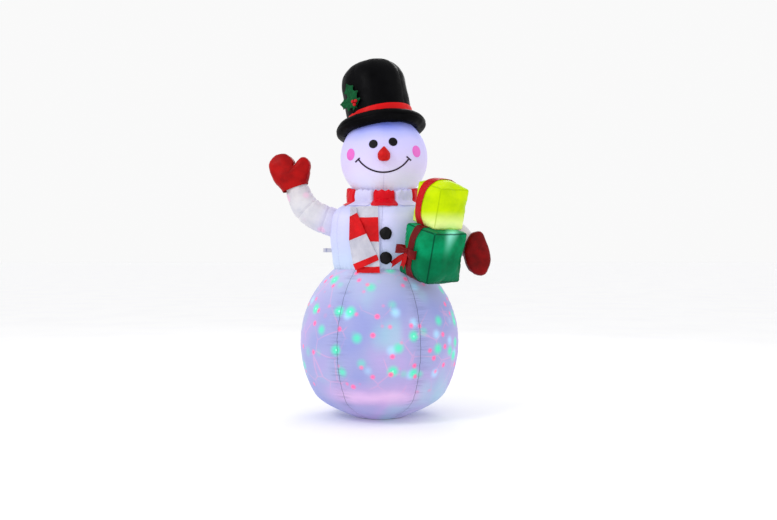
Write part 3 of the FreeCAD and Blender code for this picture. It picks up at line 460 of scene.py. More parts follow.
def ball_cloth():
    """Thin pale cloth with painted light from its inside lamp: a lighter top, a lit pool low at the front,
    the lens light's coloured spots and the net of faint lines between them; painted shade in the gathers
    beside the seams.
    """
    finish = Finish("ball_cloth", roughness=0.5, sheen=0.04)
    x, y, z = finish.axis()
    tint = finish.noise(3.1, 2.0)
    base = finish.blend_along(tint, [(0.30, (0.215, 0.250, 0.54)), (0.47, (0.285, 0.300, 0.54)),
                                     (0.60, (0.375, 0.305, 0.57)), (0.74, (0.255, 0.38, 0.53))])
    # Painted light: the top of the ball, towards the waist, is lighter.
    high = finish.band(z, 0.44, 0.61)
    base = finish.mix(finish.times(high, 0.55), base, (0.42, 0.48, 0.64))
    mint = finish.band(finish.noise(5.3, 1.0, finish.stretched(1, 1, 0.8)), 0.54, 0.74)
    base = finish.mix(finish.times(mint, 0.42), base, (0.26, 0.58, 0.60))

    # Painted light: a lit pool low on the front of the ball from the inside lamp, with a paler core.
    reach = finish.math("ADD", finish.times(x, x), finish.times(y, y))
    out = finish.band(reach, 0.05, 0.075)
    front = finish.times(finish.band(y, -0.26, -0.10, 1.0, 0.0), out)
    lamp_pool_haze = finish.band(finish.gap(z, 0.118), 0.0, 0.085, 0.50, 0.0)
    sides = finish.band(finish.math("ABSOLUTE", finish.math("ADD", x, 0.02)), 0.06, 0.24, 1.0, 0.0)
    front = finish.times(front, sides)
    base = finish.mix(finish.times(lamp_pool_haze, front), base, (0.62, 0.33, 0.60))
    level = finish.gap(z, finish.math("ADD", 0.092,
                        finish.times(finish.noise(9.0, 2.0), 0.050)))
    lamp_pool_core = finish.times(finish.band(level, 0.0, 0.038, 0.34, 0.0), front)
    base = finish.mix(lamp_pool_core, base, (0.84, 0.56, 0.78))

    # Painted light: the lens light's faint net of lines between the spots, fading in from 0.1 to 0.2 m up.
    broken = finish.band(finish.noise(7.0, 1.0), 0.46, 0.60)
    net = finish.cells(9.5, (0.21, 0.07, 0.16), "DISTANCE_TO_EDGE")[0]
    reached = finish.band(z, 0.10, 0.20)
    line = finish.times(finish.band(net, 0.002, 0.040, 0.24, 0.0), finish.times(broken, reached))
    base = finish.mix(line, base, (0.86, 0.30, 0.50))

    # Painted light: the lens light's coloured spots; each green spot also gets a paler painted core.
    spots = (("pale", 12.0, (0.52, 0.17, 0.61), 0.0, 0.36, 0.66, (0.34, 0.62, 0.84), 0.13),
             ("green", 12.5, (0.13, 0.41, 0.35), 0.06, 0.40, 0.16, (0.06, 0.70, 0.42), 0.17),
             ("pink", 18.0, (0.33, 0.72, 0.05), 0.08, 0.27, 0.14, (0.90, 0.13, 0.33), 0.12))
    for name, scale, shift, inner, outer, kept, colour, lowest in spots:
        distance, random = finish.cells(scale, shift)
        chosen = finish.band(finish.axis(random)[0], kept - 0.01, kept + 0.01)
        chosen = finish.times(chosen, finish.band(z, lowest, lowest + 0.04))
        disc = finish.times(finish.band(distance, inner, outer, 1.0, 0.0), chosen)
        base = finish.mix(finish.times(disc, 0.92), base, colour)
        if name == "green":
            bright = finish.times(finish.band(distance, 0.0, 0.10, 0.8, 0.0), chosen)
            base = finish.mix(bright, base, (0.50, 0.95, 0.85))

    seam, away = seam_line(finish, GORES, 0.5, 0.0015, 2 * math.pi * BALL_RADIUS)
    near_seam = finish.band(away, 0.0, 0.17, 1.0, 0.10)
    # Painted shade in the furrows of the gathers beside the seams; after it the seams are drawn as dark
    # lines.
    gathers = finish.noise(1.0, 3.0, finish.stretched(7, 7, 120))
    furrow_shade = finish.times(finish.band(gathers, 0.50, 0.64, 0.0, 0.26), near_seam)
    shaded = finish.mix(furrow_shade, base, (0.13, 0.14, 0.30))
    shaded = finish.mix(finish.times(seam, 0.72), shaded, (0.07, 0.08, 0.15))
    finish.bump(finish.times(gathers, near_seam), 0.010, 0.9)
    finish.weave()
    return finish.done(shaded, shaded, 0.30)


def lit_cloth(name, low, high, stops, glow=0.36, seams=None, seam_tone=0.4, fade=None):
    """Pale cloth lit from inside, that light painted into its colour: colour stops from the bottom (low) to
    the top (high), the same colour also used as its glow.
    """
    finish = Finish(name, roughness=0.5, sheen=0.04)
    z = finish.axis()[2]
    uneven = finish.times(finish.math("SUBTRACT", finish.noise(6.0, 2.0), 0.5), 0.22)
    height = finish.math("ADD", finish.band(z, low, high), uneven)
    colour = finish.blend_along(height, stops)
    if seams:
        seam, away = seam_line(finish, seams[0], seams[1], 0.0014, seams[2])
        strength = seam_tone
        if fade:
            strength = finish.times(finish.band(z, fade[0], fade[1], 1.0, 0.12), seam_tone)
        colour = finish.mix(finish.times(seam, strength), colour, (0.22, 0.22, 0.40))
        gathers = finish.noise(1.0, 3.0, finish.stretched(10, 10, 130))
        finish.bump(finish.times(gathers, finish.band(away, 0.0, 0.15, 1.0, 0.10)), 0.005, 0.6)
    finish.bump(finish.noise(22.0, 3.0), 0.0015, 0.5)
    finish.weave()
    return finish.done(colour, colour, glow)


def plain_cloth(name, colour, dark, roughness=0.5, sheen=0.02, wrinkle=0.002, scale=26.0, glow=0.0):
    """Opaque cloth: colour that varies a little, wrinkles and a weave."""
    finish = Finish(name, roughness=roughness, sheen=sheen, specular=0.14)
    cloudy = finish.noise(7.0, 3.0)
    tone = finish.blend_along(cloudy, [(0.32, dark), (0.62, colour)])
    finish.bump(finish.noise(scale, 4.0), wrinkle, 0.7)
    finish.weave()
    rough = finish.band(finish.noise(40.0, 2.0), 0.3, 0.7, max(roughness - 0.08, 0.05), roughness + 0.08)
    return finish.done(tone, tone if glow else None, glow, rough)


def hard_finish(name, colour, dark, roughness, metallic=0.0, grain=180.0, alpha=1.0, coat=0.0):
    """Moulded or metal finish with a fine surface grain and handling marks."""
    finish = Finish(name, roughness=roughness, metallic=metallic, alpha=alpha, coat=coat, specular=0.5)
    tone = finish.blend_along(finish.noise(24.0, 4.0), [(0.35, dark), (0.65, colour)])
    finish.bump(finish.noise(grain, 2.0), 0.0002, 0.4)
    rough = finish.band(finish.noise(60.0, 3.0), 0.3, 0.7, max(roughness - 0.1, 0.04), roughness + 0.1)
    return finish.done(tone, roughness=rough)


# ---- Lower ball ----
def ball_radius_at(z):
    span = min(abs((z - BALL_CENTRE_Z) / BALL_HALF_HEIGHT), 1.0)
    below = max(0.0, FOOT_Z - z) / FOOT_Z
    return BALL_RADIUS * math.sqrt(1 - span ** 2) * (1 - FOOT_DRAW_IN * below ** 2)


BLOWER_AXIS = Vector((0, math.cos(math.radians(20)), -math.sin(math.radians(20))))
BLOWER_SEAT = Vector((0.0, 0.304, 0.170)) - BLOWER_AXIS * 0.013
ZIP_AZIMUTH = 52.0


def ball_skin():
    """Six gores sewn edge to edge: each bulges between its seams and puckers beside them."""
    low, high = 0.0022, WAIST_Z

    def rule(u, v):
        angle = 2 * math.pi * u + math.radians(-180)
        z = low + (high - low) * (v + 0.05 * math.sin(2 * math.pi * v) / (2 * math.pi))
        radius = ball_radius_at(z)
        away = seam_gap(u, GORES, 2 * math.pi * radius)
        round_z = (z - BALL_CENTRE_Z) / BALL_HALF_HEIGHT
        depth = 0.0075 * (1 - abs(round_z) ** 6) + 0.001
        pinch = depth * crease(away, 0.030) + 0.0022 * crease(away, 0.009)
        flank = angle_gap(angle, math.radians(ZIP_AZIMUTH)) * radius
        calm = 1 - crease(flank, 0.045) if abs(z - BALL_CENTRE_Z) < 0.17 else 1.0
        wave = round_ripple(angle, 3.0, z * 85.0)
        seat = ripple(u * 60.0, z * 30.0, 4.0)
        pucker = 0.0036 * wave * crease(away, 0.042) + 0.0010 * seat * crease(away, 0.10)
        foot = crease(z - low, 0.03) * 0.004 * ripple(u * 40.0, 2.0)
        lift = (0.0016 - pinch * 0.75 + pucker + foot) * calm * (1 - 0.8 * crease(z - high, 0.012))
        radius = radius + 0.0012 + lift
        point = ring_point(radius, angle, z)
        over = (point - BLOWER_SEAT).dot(BLOWER_AXIS)
        if over > 0.0012:
            point -= BLOWER_AXIS * (over - 0.0012)
        return point

    piece = laid("ball_cloth_gores", 288, 150, rule)
    edit(piece)
    bpy.ops.mesh.select_all(action="DESELECT")
    leave_edit()
    for face in piece.data.polygons:
        away = face.center - BLOWER_SEAT
        flat = away - BLOWER_AXIS * away.dot(BLOWER_AXIS)
        face.select = flat.length < 0.059 and abs(away.dot(BLOWER_AXIS)) < 0.01
    bpy.ops.object.mode_set(mode="EDIT")
    bpy.ops.mesh.delete(type="FACE")
    leave_edit()
    smooth(piece)
    return finished(piece, ball_cloth(), "lit_cloth", "ball_shell")


def angle_gap(a, b):
    gap = (a - b) % (2 * math.pi)
    return min(gap, 2 * math.pi - gap)


# ---- Torso and head ----
def torso_centre_x(z):
    return HEAD_CENTRE.x * (z - WAIST_Z) / (NECK_Z - WAIST_Z)


def torso_radius_at(z):
    profile = [(WAIST_Z, ball_radius_at(WAIST_Z))] + TORSO_PROFILE + [(NECK_Z, NECK_RADIUS)]
    return curve_value(profile, z)


def torso_skin():
    def rule(u, v):
        angle = 2 * math.pi * u - math.radians(90)
        z = WAIST_Z + (NECK_Z - WAIST_Z) * v
        radius = torso_radius_at(z)
        away = seam_gap(u, GORES, 2 * math.pi * radius)
        pinch = 0.0042 * crease(away, 0.022) + 0.0015 * crease(away, 0.007)
        wave = round_ripple(angle, 3.0, z * 80.0 + 7)
        soft = round_ripple(angle, 2.1, z * 9.0)
        shoulder = crease(z - 0.850, 0.055)
        fold = 0.0040 * ripple(u * 24.0, z * 14.0, 3.0) * shoulder
        waist = crease(z - WAIST_Z, 0.018)
        gather = 0.0022 * math.sin(2 * math.pi * u * 44 + 3 * ripple(u * 12, 1)) * waist
        rise = (-pinch + 0.0022 * wave * crease(away, 0.035) + 0.0018 * soft + fold + gather
                + 0.0030 - 0.006 * waist)
        if z > 0.895:
            rise *= 0.4
        centre = torso_centre_x(z)
        broad = 0.009 * crease(z - 0.79, 0.075)
        return Vector((centre + (radius + rise + broad) * math.cos(angle),
                       (radius + rise) * math.sin(angle), z))

    piece = laid("torso_cloth", 252, 96, rule)
    smooth(piece)
    # Painted light: the stops brighten up to the chest, then darken at the top, in the collar's shade.
    cloth = lit_cloth("torso_cloth", 0.61, 0.90,
                      [(0.0, (0.42, 0.50, 0.66)), (0.25, (0.43, 0.47, 0.68)), (0.6, (0.46, 0.47, 0.70)),
                       (0.85, (0.50, 0.50, 0.72)), (1.0, (0.40, 0.42, 0.64))],
                      glow=0.30, seams=(GORES, 0.5, 1.28))
    return finished(piece, cloth, "lit_cloth", "torso_shell")


def head_skin():
    """Head sewn from four panels that meet under the chin, and gathered into the neck."""
    foot_angle = math.asin((NECK_Z - HEAD_CENTRE.z) / HEAD_RADIUS)

    def rule(u, v):
        azimuth = 2 * math.pi * u - math.radians(90)
        rise = foot_angle + (math.radians(64) - foot_angle) * v
        away = seam_gap(u, HEAD_PANELS, 2 * math.pi * HEAD_RADIUS * math.cos(rise))
        below = crease(math.degrees(rise) + 48, 17) if rise > math.radians(-48) else 1.0
        pinch = (0.0030 * crease(away, 0.016) + 0.0012 * crease(away, 0.006)) * below
        neck = crease(math.degrees(rise) + 55, 10)
        gather = 0.0022 * math.sin(2 * math.pi * u * 40 + 4 * ripple(u * 9, 5)) * neck
        soft = 0.0010 * round_ripple(azimuth, 2.2, rise * 3.0)
        rear = 0.5 + 0.5 * math.sin(azimuth)
        shift = min(-pinch + gather + soft * rear, 0.0003 + 0.002 * rear)
        reach = HEAD_RADIUS + shift
        return HEAD_CENTRE + ring_point(reach * math.cos(rise), azimuth, reach * math.sin(rise))

    piece = laid("head_cloth", 240, 110, rule)
    smooth(piece)
    # Painted light: the stops are palest low on the head and turn darker and bluer towards the top, under the
    # hat brim.
    cloth = lit_cloth("head_cloth", 0.925, 1.235,
                      [(0.0, (0.56, 0.56, 0.70)), (0.25, (0.53, 0.47, 0.69)), (0.55, (0.48, 0.44, 0.70)),
                       (0.76, (0.44, 0.42, 0.71)), (0.88, (0.33, 0.35, 0.70)), (0.98, (0.13, 0.17, 0.60))],
                      glow=0.34, seams=(HEAD_PANELS, 0.5, 1.14), seam_tone=0.45, fade=(0.955, 1.01))
    return finished(piece, cloth, "lit_cloth", "head_shell")


# ---- Arms ----
WAVING_ARM = [((-0.150, 0, 0.790), 0.059), ((-0.206, 0, 0.812), 0.059), ((-0.262, 0, 0.834), 0.058),
              ((-0.307, 0, 0.868), 0.056), ((-0.333, -0.002, 0.912), 0.051), ((-0.350, -0.004, 0.956), 0.048)]
GIFT_ARM = [((0.150, 0, 0.788), 0.054), ((0.212, -0.008, 0.800), 0.054), ((0.264, -0.038, 0.788), 0.052),
            ((0.312, -0.086, 0.758), 0.049), ((0.344, -0.134, 0.722), 0.046), ((0.366, -0.168, 0.690), 0.044)]


def path_value(sections, at):
    """Place, direction and radius along a limb, 0 at its root and 1 at its end."""
    lengths = [0.0]
    for first, second in zip(sections, sections[1:]):
        lengths.append(lengths[-1] + (Vector(second[0]) - Vector(first[0])).length)
    reach = at * lengths[-1]

    def at_reach(value):
        place = [curve_value([(l, s[0][i]) for l, s in zip(lengths, sections)], value) for i in range(3)]
        return Vector(place)

    radius = curve_value([(l, s[1]) for l, s in zip(lengths, sections)], reach)
    step = 0.004
    direction = (at_reach(min(reach + step, lengths[-1])) - at_reach(max(reach - step, 0.0))).normalized()
    return at_reach(reach), direction, radius


def limb_skin(name, sections, replaced, seam_at, root_seam, upright, seed):
    """Round sleeve with a seam across its middle and wrinkles where it bends."""
    def rule(u, v):
        place, direction, radius = path_value(sections, v)
        side = direction.cross(Vector(upright)).normalized()
        lift = side.cross(direction).normalized()
        angle = 2 * math.pi * u
        inner = 0.5 - 0.5 * math.cos(angle)
        cross = 0.0030 * crease(v - seam_at, 0.020) + 0.0030 * crease(v - root_seam, 0.018)
        cuff = 0.006 * crease(v - 1.0, 0.045)
        crush = 0.0026 * ripple(u * 5.0 + seed, v * 16.0, seed) * (0.30 + 0.70 * inner)
        fine = 0.0010 * ripple(math.cos(angle) * 3 + seed, math.sin(angle) * 3, v * 40.0)
        length_wise = 0.0010 * math.sin(9 * angle + 5 * v) * (
            crease(v - seam_at, 0.10) + crease(v - 1.0, 0.12)
                                                             + crease(v - root_seam, 0.10))
        radius = radius - cross - cuff + (crush + fine + length_wise) * 0.9 + 0.0010
        return place + (side * math.cos(angle) + lift * math.sin(angle)) * radius

    piece = laid(name, 96, 120, rule)
    smooth(piece)
    return finished(piece, arm_cloth(name, seam_at, root_seam), "lit_cloth", replaced)


def arm_cloth(name, seam_at, root_seam):
    finish = Finish(name, roughness=0.5, sheen=0.04)
    along = finish.own_axis()[1]
    uneven = finish.noise(15.0, 3.0)
    colour = finish.blend_along(uneven, [(0.28, (0.46, 0.46, 0.52)), (0.50, (0.54, 0.53, 0.57)),
                                         (0.72, (0.60, 0.58, 0.60))])
    # Painted light: the sleeve turns more lavender towards the shoulder and darker and warmer towards the
    # wrist.
    root = finish.band(along, 0.20, 0.50, 0.75, 0.0)
    colour = finish.mix(root, colour, (0.46, 0.45, 0.66))
    near_wrist = finish.band(along, 0.70, 1.0, 0.0, 0.40)
    colour = finish.mix(near_wrist, colour, (0.42, 0.36, 0.38))
    for seam in (seam_at, root_seam):
        gap = finish.gap(along, seam)
        colour = finish.mix(finish.band(gap, 0.002, 0.007, 0.18, 0.0), colour, (0.20, 0.20, 0.26))
    # Painted light: pink spots of the inside lamp's light.
    spot = finish.cells(9.0, (0.36, 0.10, 0.24))[0]
    colour = finish.mix(finish.band(spot, 0.08, 0.22, 0.45, 0.0), colour, (0.80, 0.36, 0.56))
    finish.bump(finish.noise(30.0, 4.0), 0.0012, 0.5)
    finish.weave()
    return finish.done(colour, colour, 0.22)


# ---- Mittens ----
WAVING_MITTEN = [(-318, 930), (-304, 970), (-291, 1012), (-286, 1049), (-300, 1076), (-322, 1078),
                 (-340, 1062), (-354, 1052), (-364, 1074), (-396, 1096), (-434, 1090), (-460, 1066),
                 (-466, 1040), (-456, 1004), (-440, 976), (-412, 945), (-385, 905)]
GIFT_MITTEN = [(355, 744), (376, 762), (398, 766), (414, 748), (428, 710), (440, 665), (438, 625),
               (424, 598), (400, 588), (372, 598), (346, 628), (336, 670), (340, 712)]
MITTEN_RIM = 88
WRIST_POINT = Vector((-0.346, 0, 0.954))
WRIST_NORMAL = Vector((-0.334, 0, 0.943))


def round_outline(points, count):
    """Closed smooth run of points through the given ones."""
    total = len(points)
    result = []
    for i in range(count):
        at = i / count * total
        k = int(at)
        t = at - k
        p0, p1, p2, p3 = [Vector((*points[(k + j) % total], 0)) / 1000 for j in (-1, 0, 1, 2)]
        result.append(0.5 * ((2 * p1) + (p2 - p0) * t + (2 * p0 - 5 * p1 + 4 * p2 - p3) * t * t
                             + (3 * p1 - p0 - 3 * p2 + p3) * t ** 3))
    return result


def mitten(name, outline, centre, depth, replaced, colour, dark, glow, cut_at=None):
    """Two mitten-shaped faces sewn along their edge and blown up."""
    rim = round_outline(outline, MITTEN_RIM)
    middle_point = Vector((centre[0], centre[2], 0))

    def rule(u, v):
        turn = int(round(u * MITTEN_RIM)) % MITTEN_RIM
        level = v * 2 - 1
        edge = rim[turn]
        squash = abs(level)
        scale = (1 - squash ** 3.2) ** 0.5 if squash < 1 else 0.0
        thick = math.copysign(1 - (1 - squash) ** 2.1, level) * depth / 2
        point = middle_point + (edge - middle_point) * scale
        return Vector((point.x, centre[1] + thick, point.y))

    piece = laid(name, MITTEN_RIM, 22, rule)
    inflate(piece, 3.5, 0.010)
    low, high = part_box(replaced)
    for vertex in piece.data.vertices:
        vertex.co.x = min(max(vertex.co.x, low[0] - 0.006), high[0] + 0.006)
    subdivided(piece)
    for vertex in piece.data.vertices:
        point = vertex.co
        away = abs(point.y - centre[1])
        seam = crease(away, 0.006)
        normal = vertex.normal
        crush = 0.0030 * ripple(point.x * 30, point.y * 18, point.z * 30)
        gather = 0.0018 * ripple(point.x * 120, point.y * 20, point.z * 120) * crease(away, 0.022)
        vertex.co = point + normal * (crush + gather - 0.0035 * seam)
    if cut_at is not None:
        edit(piece)
        bpy.ops.mesh.bisect(plane_co=cut_at[0], plane_no=cut_at[1], use_fill=False, clear_inner=True)
        leave_edit()
    smooth(piece)
    finish = Finish(name, roughness=0.46, sheen=0.0, specular=0.12)
    axes = finish.axis()
    cloudy = finish.noise(17.0, 4.0)
    tone = finish.blend_along(cloudy, [(0.30, dark), (0.62, colour)])
    level = finish.gap(axes[1], centre[1])
    tone = finish.mix(finish.band(level, 0.0010, 0.0030, 0.75, 0.0), tone, tuple(c * 0.22 for c in dark))
    finish.bump(finish.noise(34.0, 4.0), 0.0022, 0.7)
    finish.weave()
    material = finish.done(tone, tone, glow)
    return finished(piece, material, "dark_red_cloth" if replaced == "gift_mitten" else "red_cloth", replaced)


# ---- Hat ----
def hat_matrix(tilt, base):
    lean = Matrix.Rotation(math.radians(-HAT_LEAN_BACK), 4, "X")
    turn = Matrix.Rotation(math.radians(-tilt), 4, "Y")
    return Matrix.Translation(base) @ turn @ lean


HAT_FRAME = hat_matrix(BRIM_TILT, HEAD_CENTRE)
CROWN_FRAME = hat_matrix(CROWN_TILT, CROWN_BASE)
BRIM_HEIGHT = math.sqrt((HEAD_RADIUS + BRIM_TUBE_RADIUS + 0.0004) ** 2 - BRIM_RING_RADIUS ** 2)


def black_satin(name):
    finish = Finish(name, roughness=0.46, specular=0.03)
    cloudy = finish.noise(12.0, 4.0)
    tone = finish.blend_along(cloudy, [(0.30, (0.0010, 0.0010, 0.0014)), (0.66, (0.0030, 0.0030, 0.0036))])
    finish.bump(finish.noise(16.0, 3.0), 0.002, 0.5)
    finish.bump(finish.noise(70.0, 2.0, finish.stretched(1, 1, 0.4)), 0.0004, 0.4)
    finish.weave(0.0016, 0.0001)
    rough = finish.band(finish.noise(30.0, 3.0), 0.3, 0.7, 0.36, 0.50)
    return finish.done(tone, roughness=rough)


def hat_brim():
    """Inflated ring, gathered at its inner seam and quilted by short puckers."""
    def rule(u, v):
        turn = 2 * math.pi * u
        angle = 2 * math.pi * v
        inward = 0.5 - 0.5 * math.cos(angle)
        pucker = math.sin(2 * math.pi * u * 34 + 2.4 * ripple(u * 20, v * 3, 1.0))
        rise = 0.0010 * pucker * inward ** 2 + 0.0022 * ripple(u * 14, v * 4, 2.0)
        rise += 0.0008 * ripple(u * 40, v * 8, 5.0)
        seam = crease(v if v < 0.5 else v - 1.0, 0.012) * 0.0020
        tube = BRIM_TUBE_RADIUS + rise - seam
        reach = BRIM_RING_RADIUS + tube * math.cos(angle)
        point = Vector((reach * math.cos(turn) + 0.004, reach * math.sin(turn),
                        BRIM_HEIGHT + tube * math.sin(angle)))
        return off_head(HAT_FRAME @ point, 0.0015)

    piece = laid("hat_brim_satin", 288, 40, rule)
    smooth(piece)
    return finished(piece, black_satin("hat_satin_brim"), "hat_cloth", "hat_brim")


def crown_point(angle, up, out=0.0):
    """Point on the crown: up runs along the wall, then over the dome to the middle of the top."""
    dome_rise = CROWN_HEIGHT - CROWN_WALL
    share = CROWN_WALL / (CROWN_WALL + 0.19)
    if up < share:
        height = CROWN_WALL * up / share
        radius = CROWN_RADIUS + out
        radius -= 0.004 * crease(height - 0.012, 0.02)
    else:
        bend = math.radians(90) * (up - share) / (1 - share)
        height = CROWN_WALL + dome_rise * math.sin(bend)
        radius = (CROWN_RADIUS + out) * max(math.cos(bend), 0.0) ** 0.62
        height += out * math.sin(bend)
    return ring_point(radius, angle, height)


def hat_crown():
    """Four panels and a domed top, slack enough to dent between its seams."""
    def rule(u, v):
        angle = 2 * math.pi * u - math.radians(90 + 33)
        away = seam_gap(u, CROWN_PANELS, 2 * math.pi * CROWN_RADIUS)
        pinch = 0.0016 * crease(away, 0.020) + 0.0008 * crease(away, 0.006)
        soft = 0.0034 * round_ripple(angle, 1.6, v * 3.2)
        fold = 0.0010 * round_ripple(angle, 5, v * 8.0)
        pucker = 0.0009 * ripple(u * 30, v * 60, 2.0) * crease(away, 0.035)
        fade = 1 - crease(v - 1.0, 0.10)
        return CROWN_FRAME @ crown_point(angle, v, (soft + fold + pucker - pinch) * fade + 0.001)

    piece = laid("hat_crown_satin", 216, 110, rule)
    smooth(piece)
    return finished(piece, black_satin("hat_satin_crown"), "hat_cloth", "hat_crown")


def hat_band():
    def rule(u, v):
        angle = 2 * math.pi * u
        z = 0.026 + (BAND_TOP - 0.026) * v
        wave = 0.0008 * ripple(u * 30, v * 2.0)
        radius = CROWN_RADIUS + 0.0022 + wave * 0.6 - 0.0008 * crease(v - 1, 0.1)
        edge = 0.0008 * ripple(u * 16, 6.0)
        return CROWN_FRAME @ ring_point(radius, angle, z + edge * v)

    piece = laid("hat_band_ribbon", 240, 14, rule)
    walled(piece, 0.0016, offset=1.0)
    smooth(piece, 40)
    cloth = plain_cloth("band_red", (0.66, 0.0, 0.002), (0.48, 0.0, 0.001), roughness=0.44,
                        wrinkle=0.0012, scale=34.0, glow=0.16)
    return finished(piece, cloth, "red_cloth", "hat_band")


# ---- Holly ----
HOLLY_AZIMUTH = -41.0
HOLLY_HEIGHT = 0.096
SPIKES = ((0.0, 0.03), (0.06, 0.14), (0.13, 0.50), (0.20, 0.95), (0.26, 0.60), (0.33, 0.56), (0.41, 0.74),
          (0.48, 1.02), (0.54, 0.66), (0.61, 0.52), (0.69, 0.56), (0.76, 0.74), (0.82, 0.42), (0.90, 0.20),
          (1.0, 0.0))


def holly_matrix(outward):
    tangent = (Matrix.Rotation(math.radians(HOLLY_AZIMUTH), 4, "Z")
               @ Matrix.Translation((0, -(CROWN_RADIUS + outward), HOLLY_HEIGHT)))
    return CROWN_FRAME @ tangent


def holly_leaf(name, replaced, length, width, turn, shift, outward):
    """Felt leaf with three spikes on each side, creased along its midrib and cupped round the crown."""
    frame_matrix = holly_matrix(outward) @ Matrix.Translation(Vector(shift)) @ Matrix.Rotation(
        math.radians(turn), 4, "Y")

    def rule(u, v):
        half = curve_value(SPIKES, v) * width / 2
        side = (u - 0.5) * 2
        x = side * half
        rib = crease(x, 0.0020)
        veins = 0.0006 * math.sin((v * 9 - abs(side) * 1.6) * 2 * math.pi) * (1 - rib)
        arch = 0.0035 * (1 - side * side) * math.sin(math.pi * min(v * 1.1, 1)) - 0.0016 * rib
        return frame_matrix @ Vector((x, -(arch + veins) - 0.0008, v * length))

    piece = laid(name, 28, 70, rule, weld=False)
    edit(piece)
    bpy.ops.mesh.remove_doubles(threshold=0.0002)
    leave_edit()
    walled(piece, 0.0026, offset=0.0)
    smooth(piece, 50)
    finish = Finish(name, roughness=0.7, sheen=0.03, specular=0.08)
    u = finish.own_axis()[0]
    rib = finish.band(finish.gap(u, 0.5), 0.0, 0.06, 1.0, 0.0)
    tone = finish.blend_along(finish.noise(50.0, 4.0), [(0.3, (0.001, 0.045, 0.014)),
                                                     (0.7, (0.003, 0.095, 0.028))])
    tone = finish.mix(finish.times(rib, 0.5), tone, (0.014, 0.16, 0.05))
    finish.bump(finish.noise(260.0, 3.0), 0.0005, 0.7)
    return finished(piece, finish.done(tone), "holly_felt", replaced)


def holly_berries():
    """Three stuffed berries, each gathered to a dimple at its middle."""
    placement = holly_matrix(0.0103)
    berries = []
    for i, (x, z) in enumerate(((2.0, 2.0), (17.0, -1.0), (8.0, -13.0))):
        centre = placement @ Vector((x / 1000, -0.0075, z / 1000))
        outward = (placement.to_3x3() @ Vector((0, -1, 0))).normalized()
        bpy.ops.object.select_all(action="DESELECT")
        bpy.ops.mesh.primitive_uv_sphere_add(segments=32, ring_count=20, radius=0.0073)
        berry = bpy.context.object
        for vertex in berry.data.vertices:
            direction = vertex.co.normalized()
            dimple = crease(direction.angle(outward), 0.35)
            lump = 0.0004 * ripple(direction.x * 3 + i, direction.y * 3, direction.z * 3)
            vertex.co = centre + direction * (0.0072 - 0.0016 * dimple + lump)
        berries.append(berry)
    piece = joined("berries_felt", berries)
    smooth(piece)
    cloth = plain_cloth("berry_red", (0.62, 0.006, 0.012), (0.36, 0.002, 0.006),
                        roughness=0.45, wrinkle=0.0005,
                        scale=160.0)
    return finished(piece, cloth, "berry_cloth", "holly_berries")


# ---- Scarf ----
def collar_point(angle, around, swell):
    """Point on the collar: angle about the neck, around its padded section from 0 to 1."""
    turn = 2 * math.pi * around
    half_thick = (COLLAR_THICKNESS / 2 + swell)
    half_high = (COLLAR_HEIGHT / 2 + swell * 0.8)
    power = 0.62
    out = math.copysign(abs(math.cos(turn)) ** power, math.cos(turn)) * half_thick
    rise = math.copysign(abs(math.sin(turn)) ** power, math.sin(turn)) * half_high
    point = ring_point(COLLAR_RADIUS - COLLAR_THICKNESS / 2 + out, angle, rise)
    return COLLAR_CENTRE + Matrix.Rotation(math.radians(COLLAR_TILT), 3, "X") @ point


def collar_panel(index):
    first = math.radians(-90 + COLLAR_FIRST_EDGE + index * PANEL_ANGLE)
    span = math.radians(PANEL_ANGLE)

    def rule(u, v):
        angle = first + span * (0.006 + 0.988 * u)
        edge = min(u, 1 - u)
        swell = -0.0075 * crease(edge, 0.05) - 0.0035 * crease(edge, 0.018)
        ruffle = 0.0034 * math.sin(2 * math.pi * (u * 3.2 + index * 0.37))
        ruffle *= max(math.sin(2 * math.pi * v), 0) ** 2
        swell += 0.0022 * ripple(u * 7 + index * 5, v * 7, 1.0) + ruffle * (1 - crease(edge, 0.06)) + 0.0012
        swell += 0.0014 * ripple(u * 3 + index, v * 30, 4.0) * crease(edge, 0.14)
        point = collar_point(angle, v, swell)
        axis = Vector((torso_centre_x(point.z), 0, point.z))
        flat = point - axis
        outer = 0.5 + 0.5 * math.cos(2 * math.pi * v)
        clear = torso_radius_at(max(min(point.z, NECK_Z), WAIST_Z)) + 0.0030 + (0.0085 + swell * 0.6) * outer
        if flat.length < clear and point.z < NECK_Z:
            point = axis + flat.normalized() * clear
        return off_head(point, 0.001)

    piece = laid("collar_panel_%d" % index, 34, 56, rule)
    edit(piece)
    bpy.ops.mesh.select_all(action="DESELECT")
    bpy.ops.mesh.select_non_manifold()
    bpy.ops.mesh.edge_face_add()
    bpy.ops.mesh.select_all(action="SELECT")
    bpy.ops.mesh.normals_make_consistent(inside=False)
    leave_edit()
    smooth(piece, 60)
    return piece


def collar():
    red = joined("collar_red_panels", [collar_panel(i) for i in range(0, COLLAR_PANELS, 2)])
    white = joined("collar_white_panels", [collar_panel(i) for i in range(1, COLLAR_PANELS, 2)])
    finished(red, plain_cloth("scarf_red_lit", (0.60, 0.0, 0.008), (0.42, 0.0, 0.006), roughness=0.46,
                              wrinkle=0.003, scale=36.0, glow=0.16), "scarf_red", "collar_red")
    finished(white, plain_cloth("scarf_white_lit", (0.52, 0.50, 0.68), (0.40, 0.39, 0.60), roughness=0.5,
                                wrinkle=0.003, scale=36.0, glow=0.28), "scarf_white", "collar_white")


DRAPE = [(0.590, 0.217), (0.640, 0.214), (0.700, 0.2125), (0.752, 0.212), (0.800, 0.2115), (0.834, 0.2095),
         (0.856, 0.201), (0.870, 0.187), (0.878, 0.170)]


def drape_point(x, z, out):
    """Point on the front of the torso's drape surface, out in front of it."""
    radius = curve_value(DRAPE, z) + out
    across = x - torso_centre_x(z)
    return Vector((x, -math.sqrt(max(radius ** 2 - across ** 2, 0.0)), z))


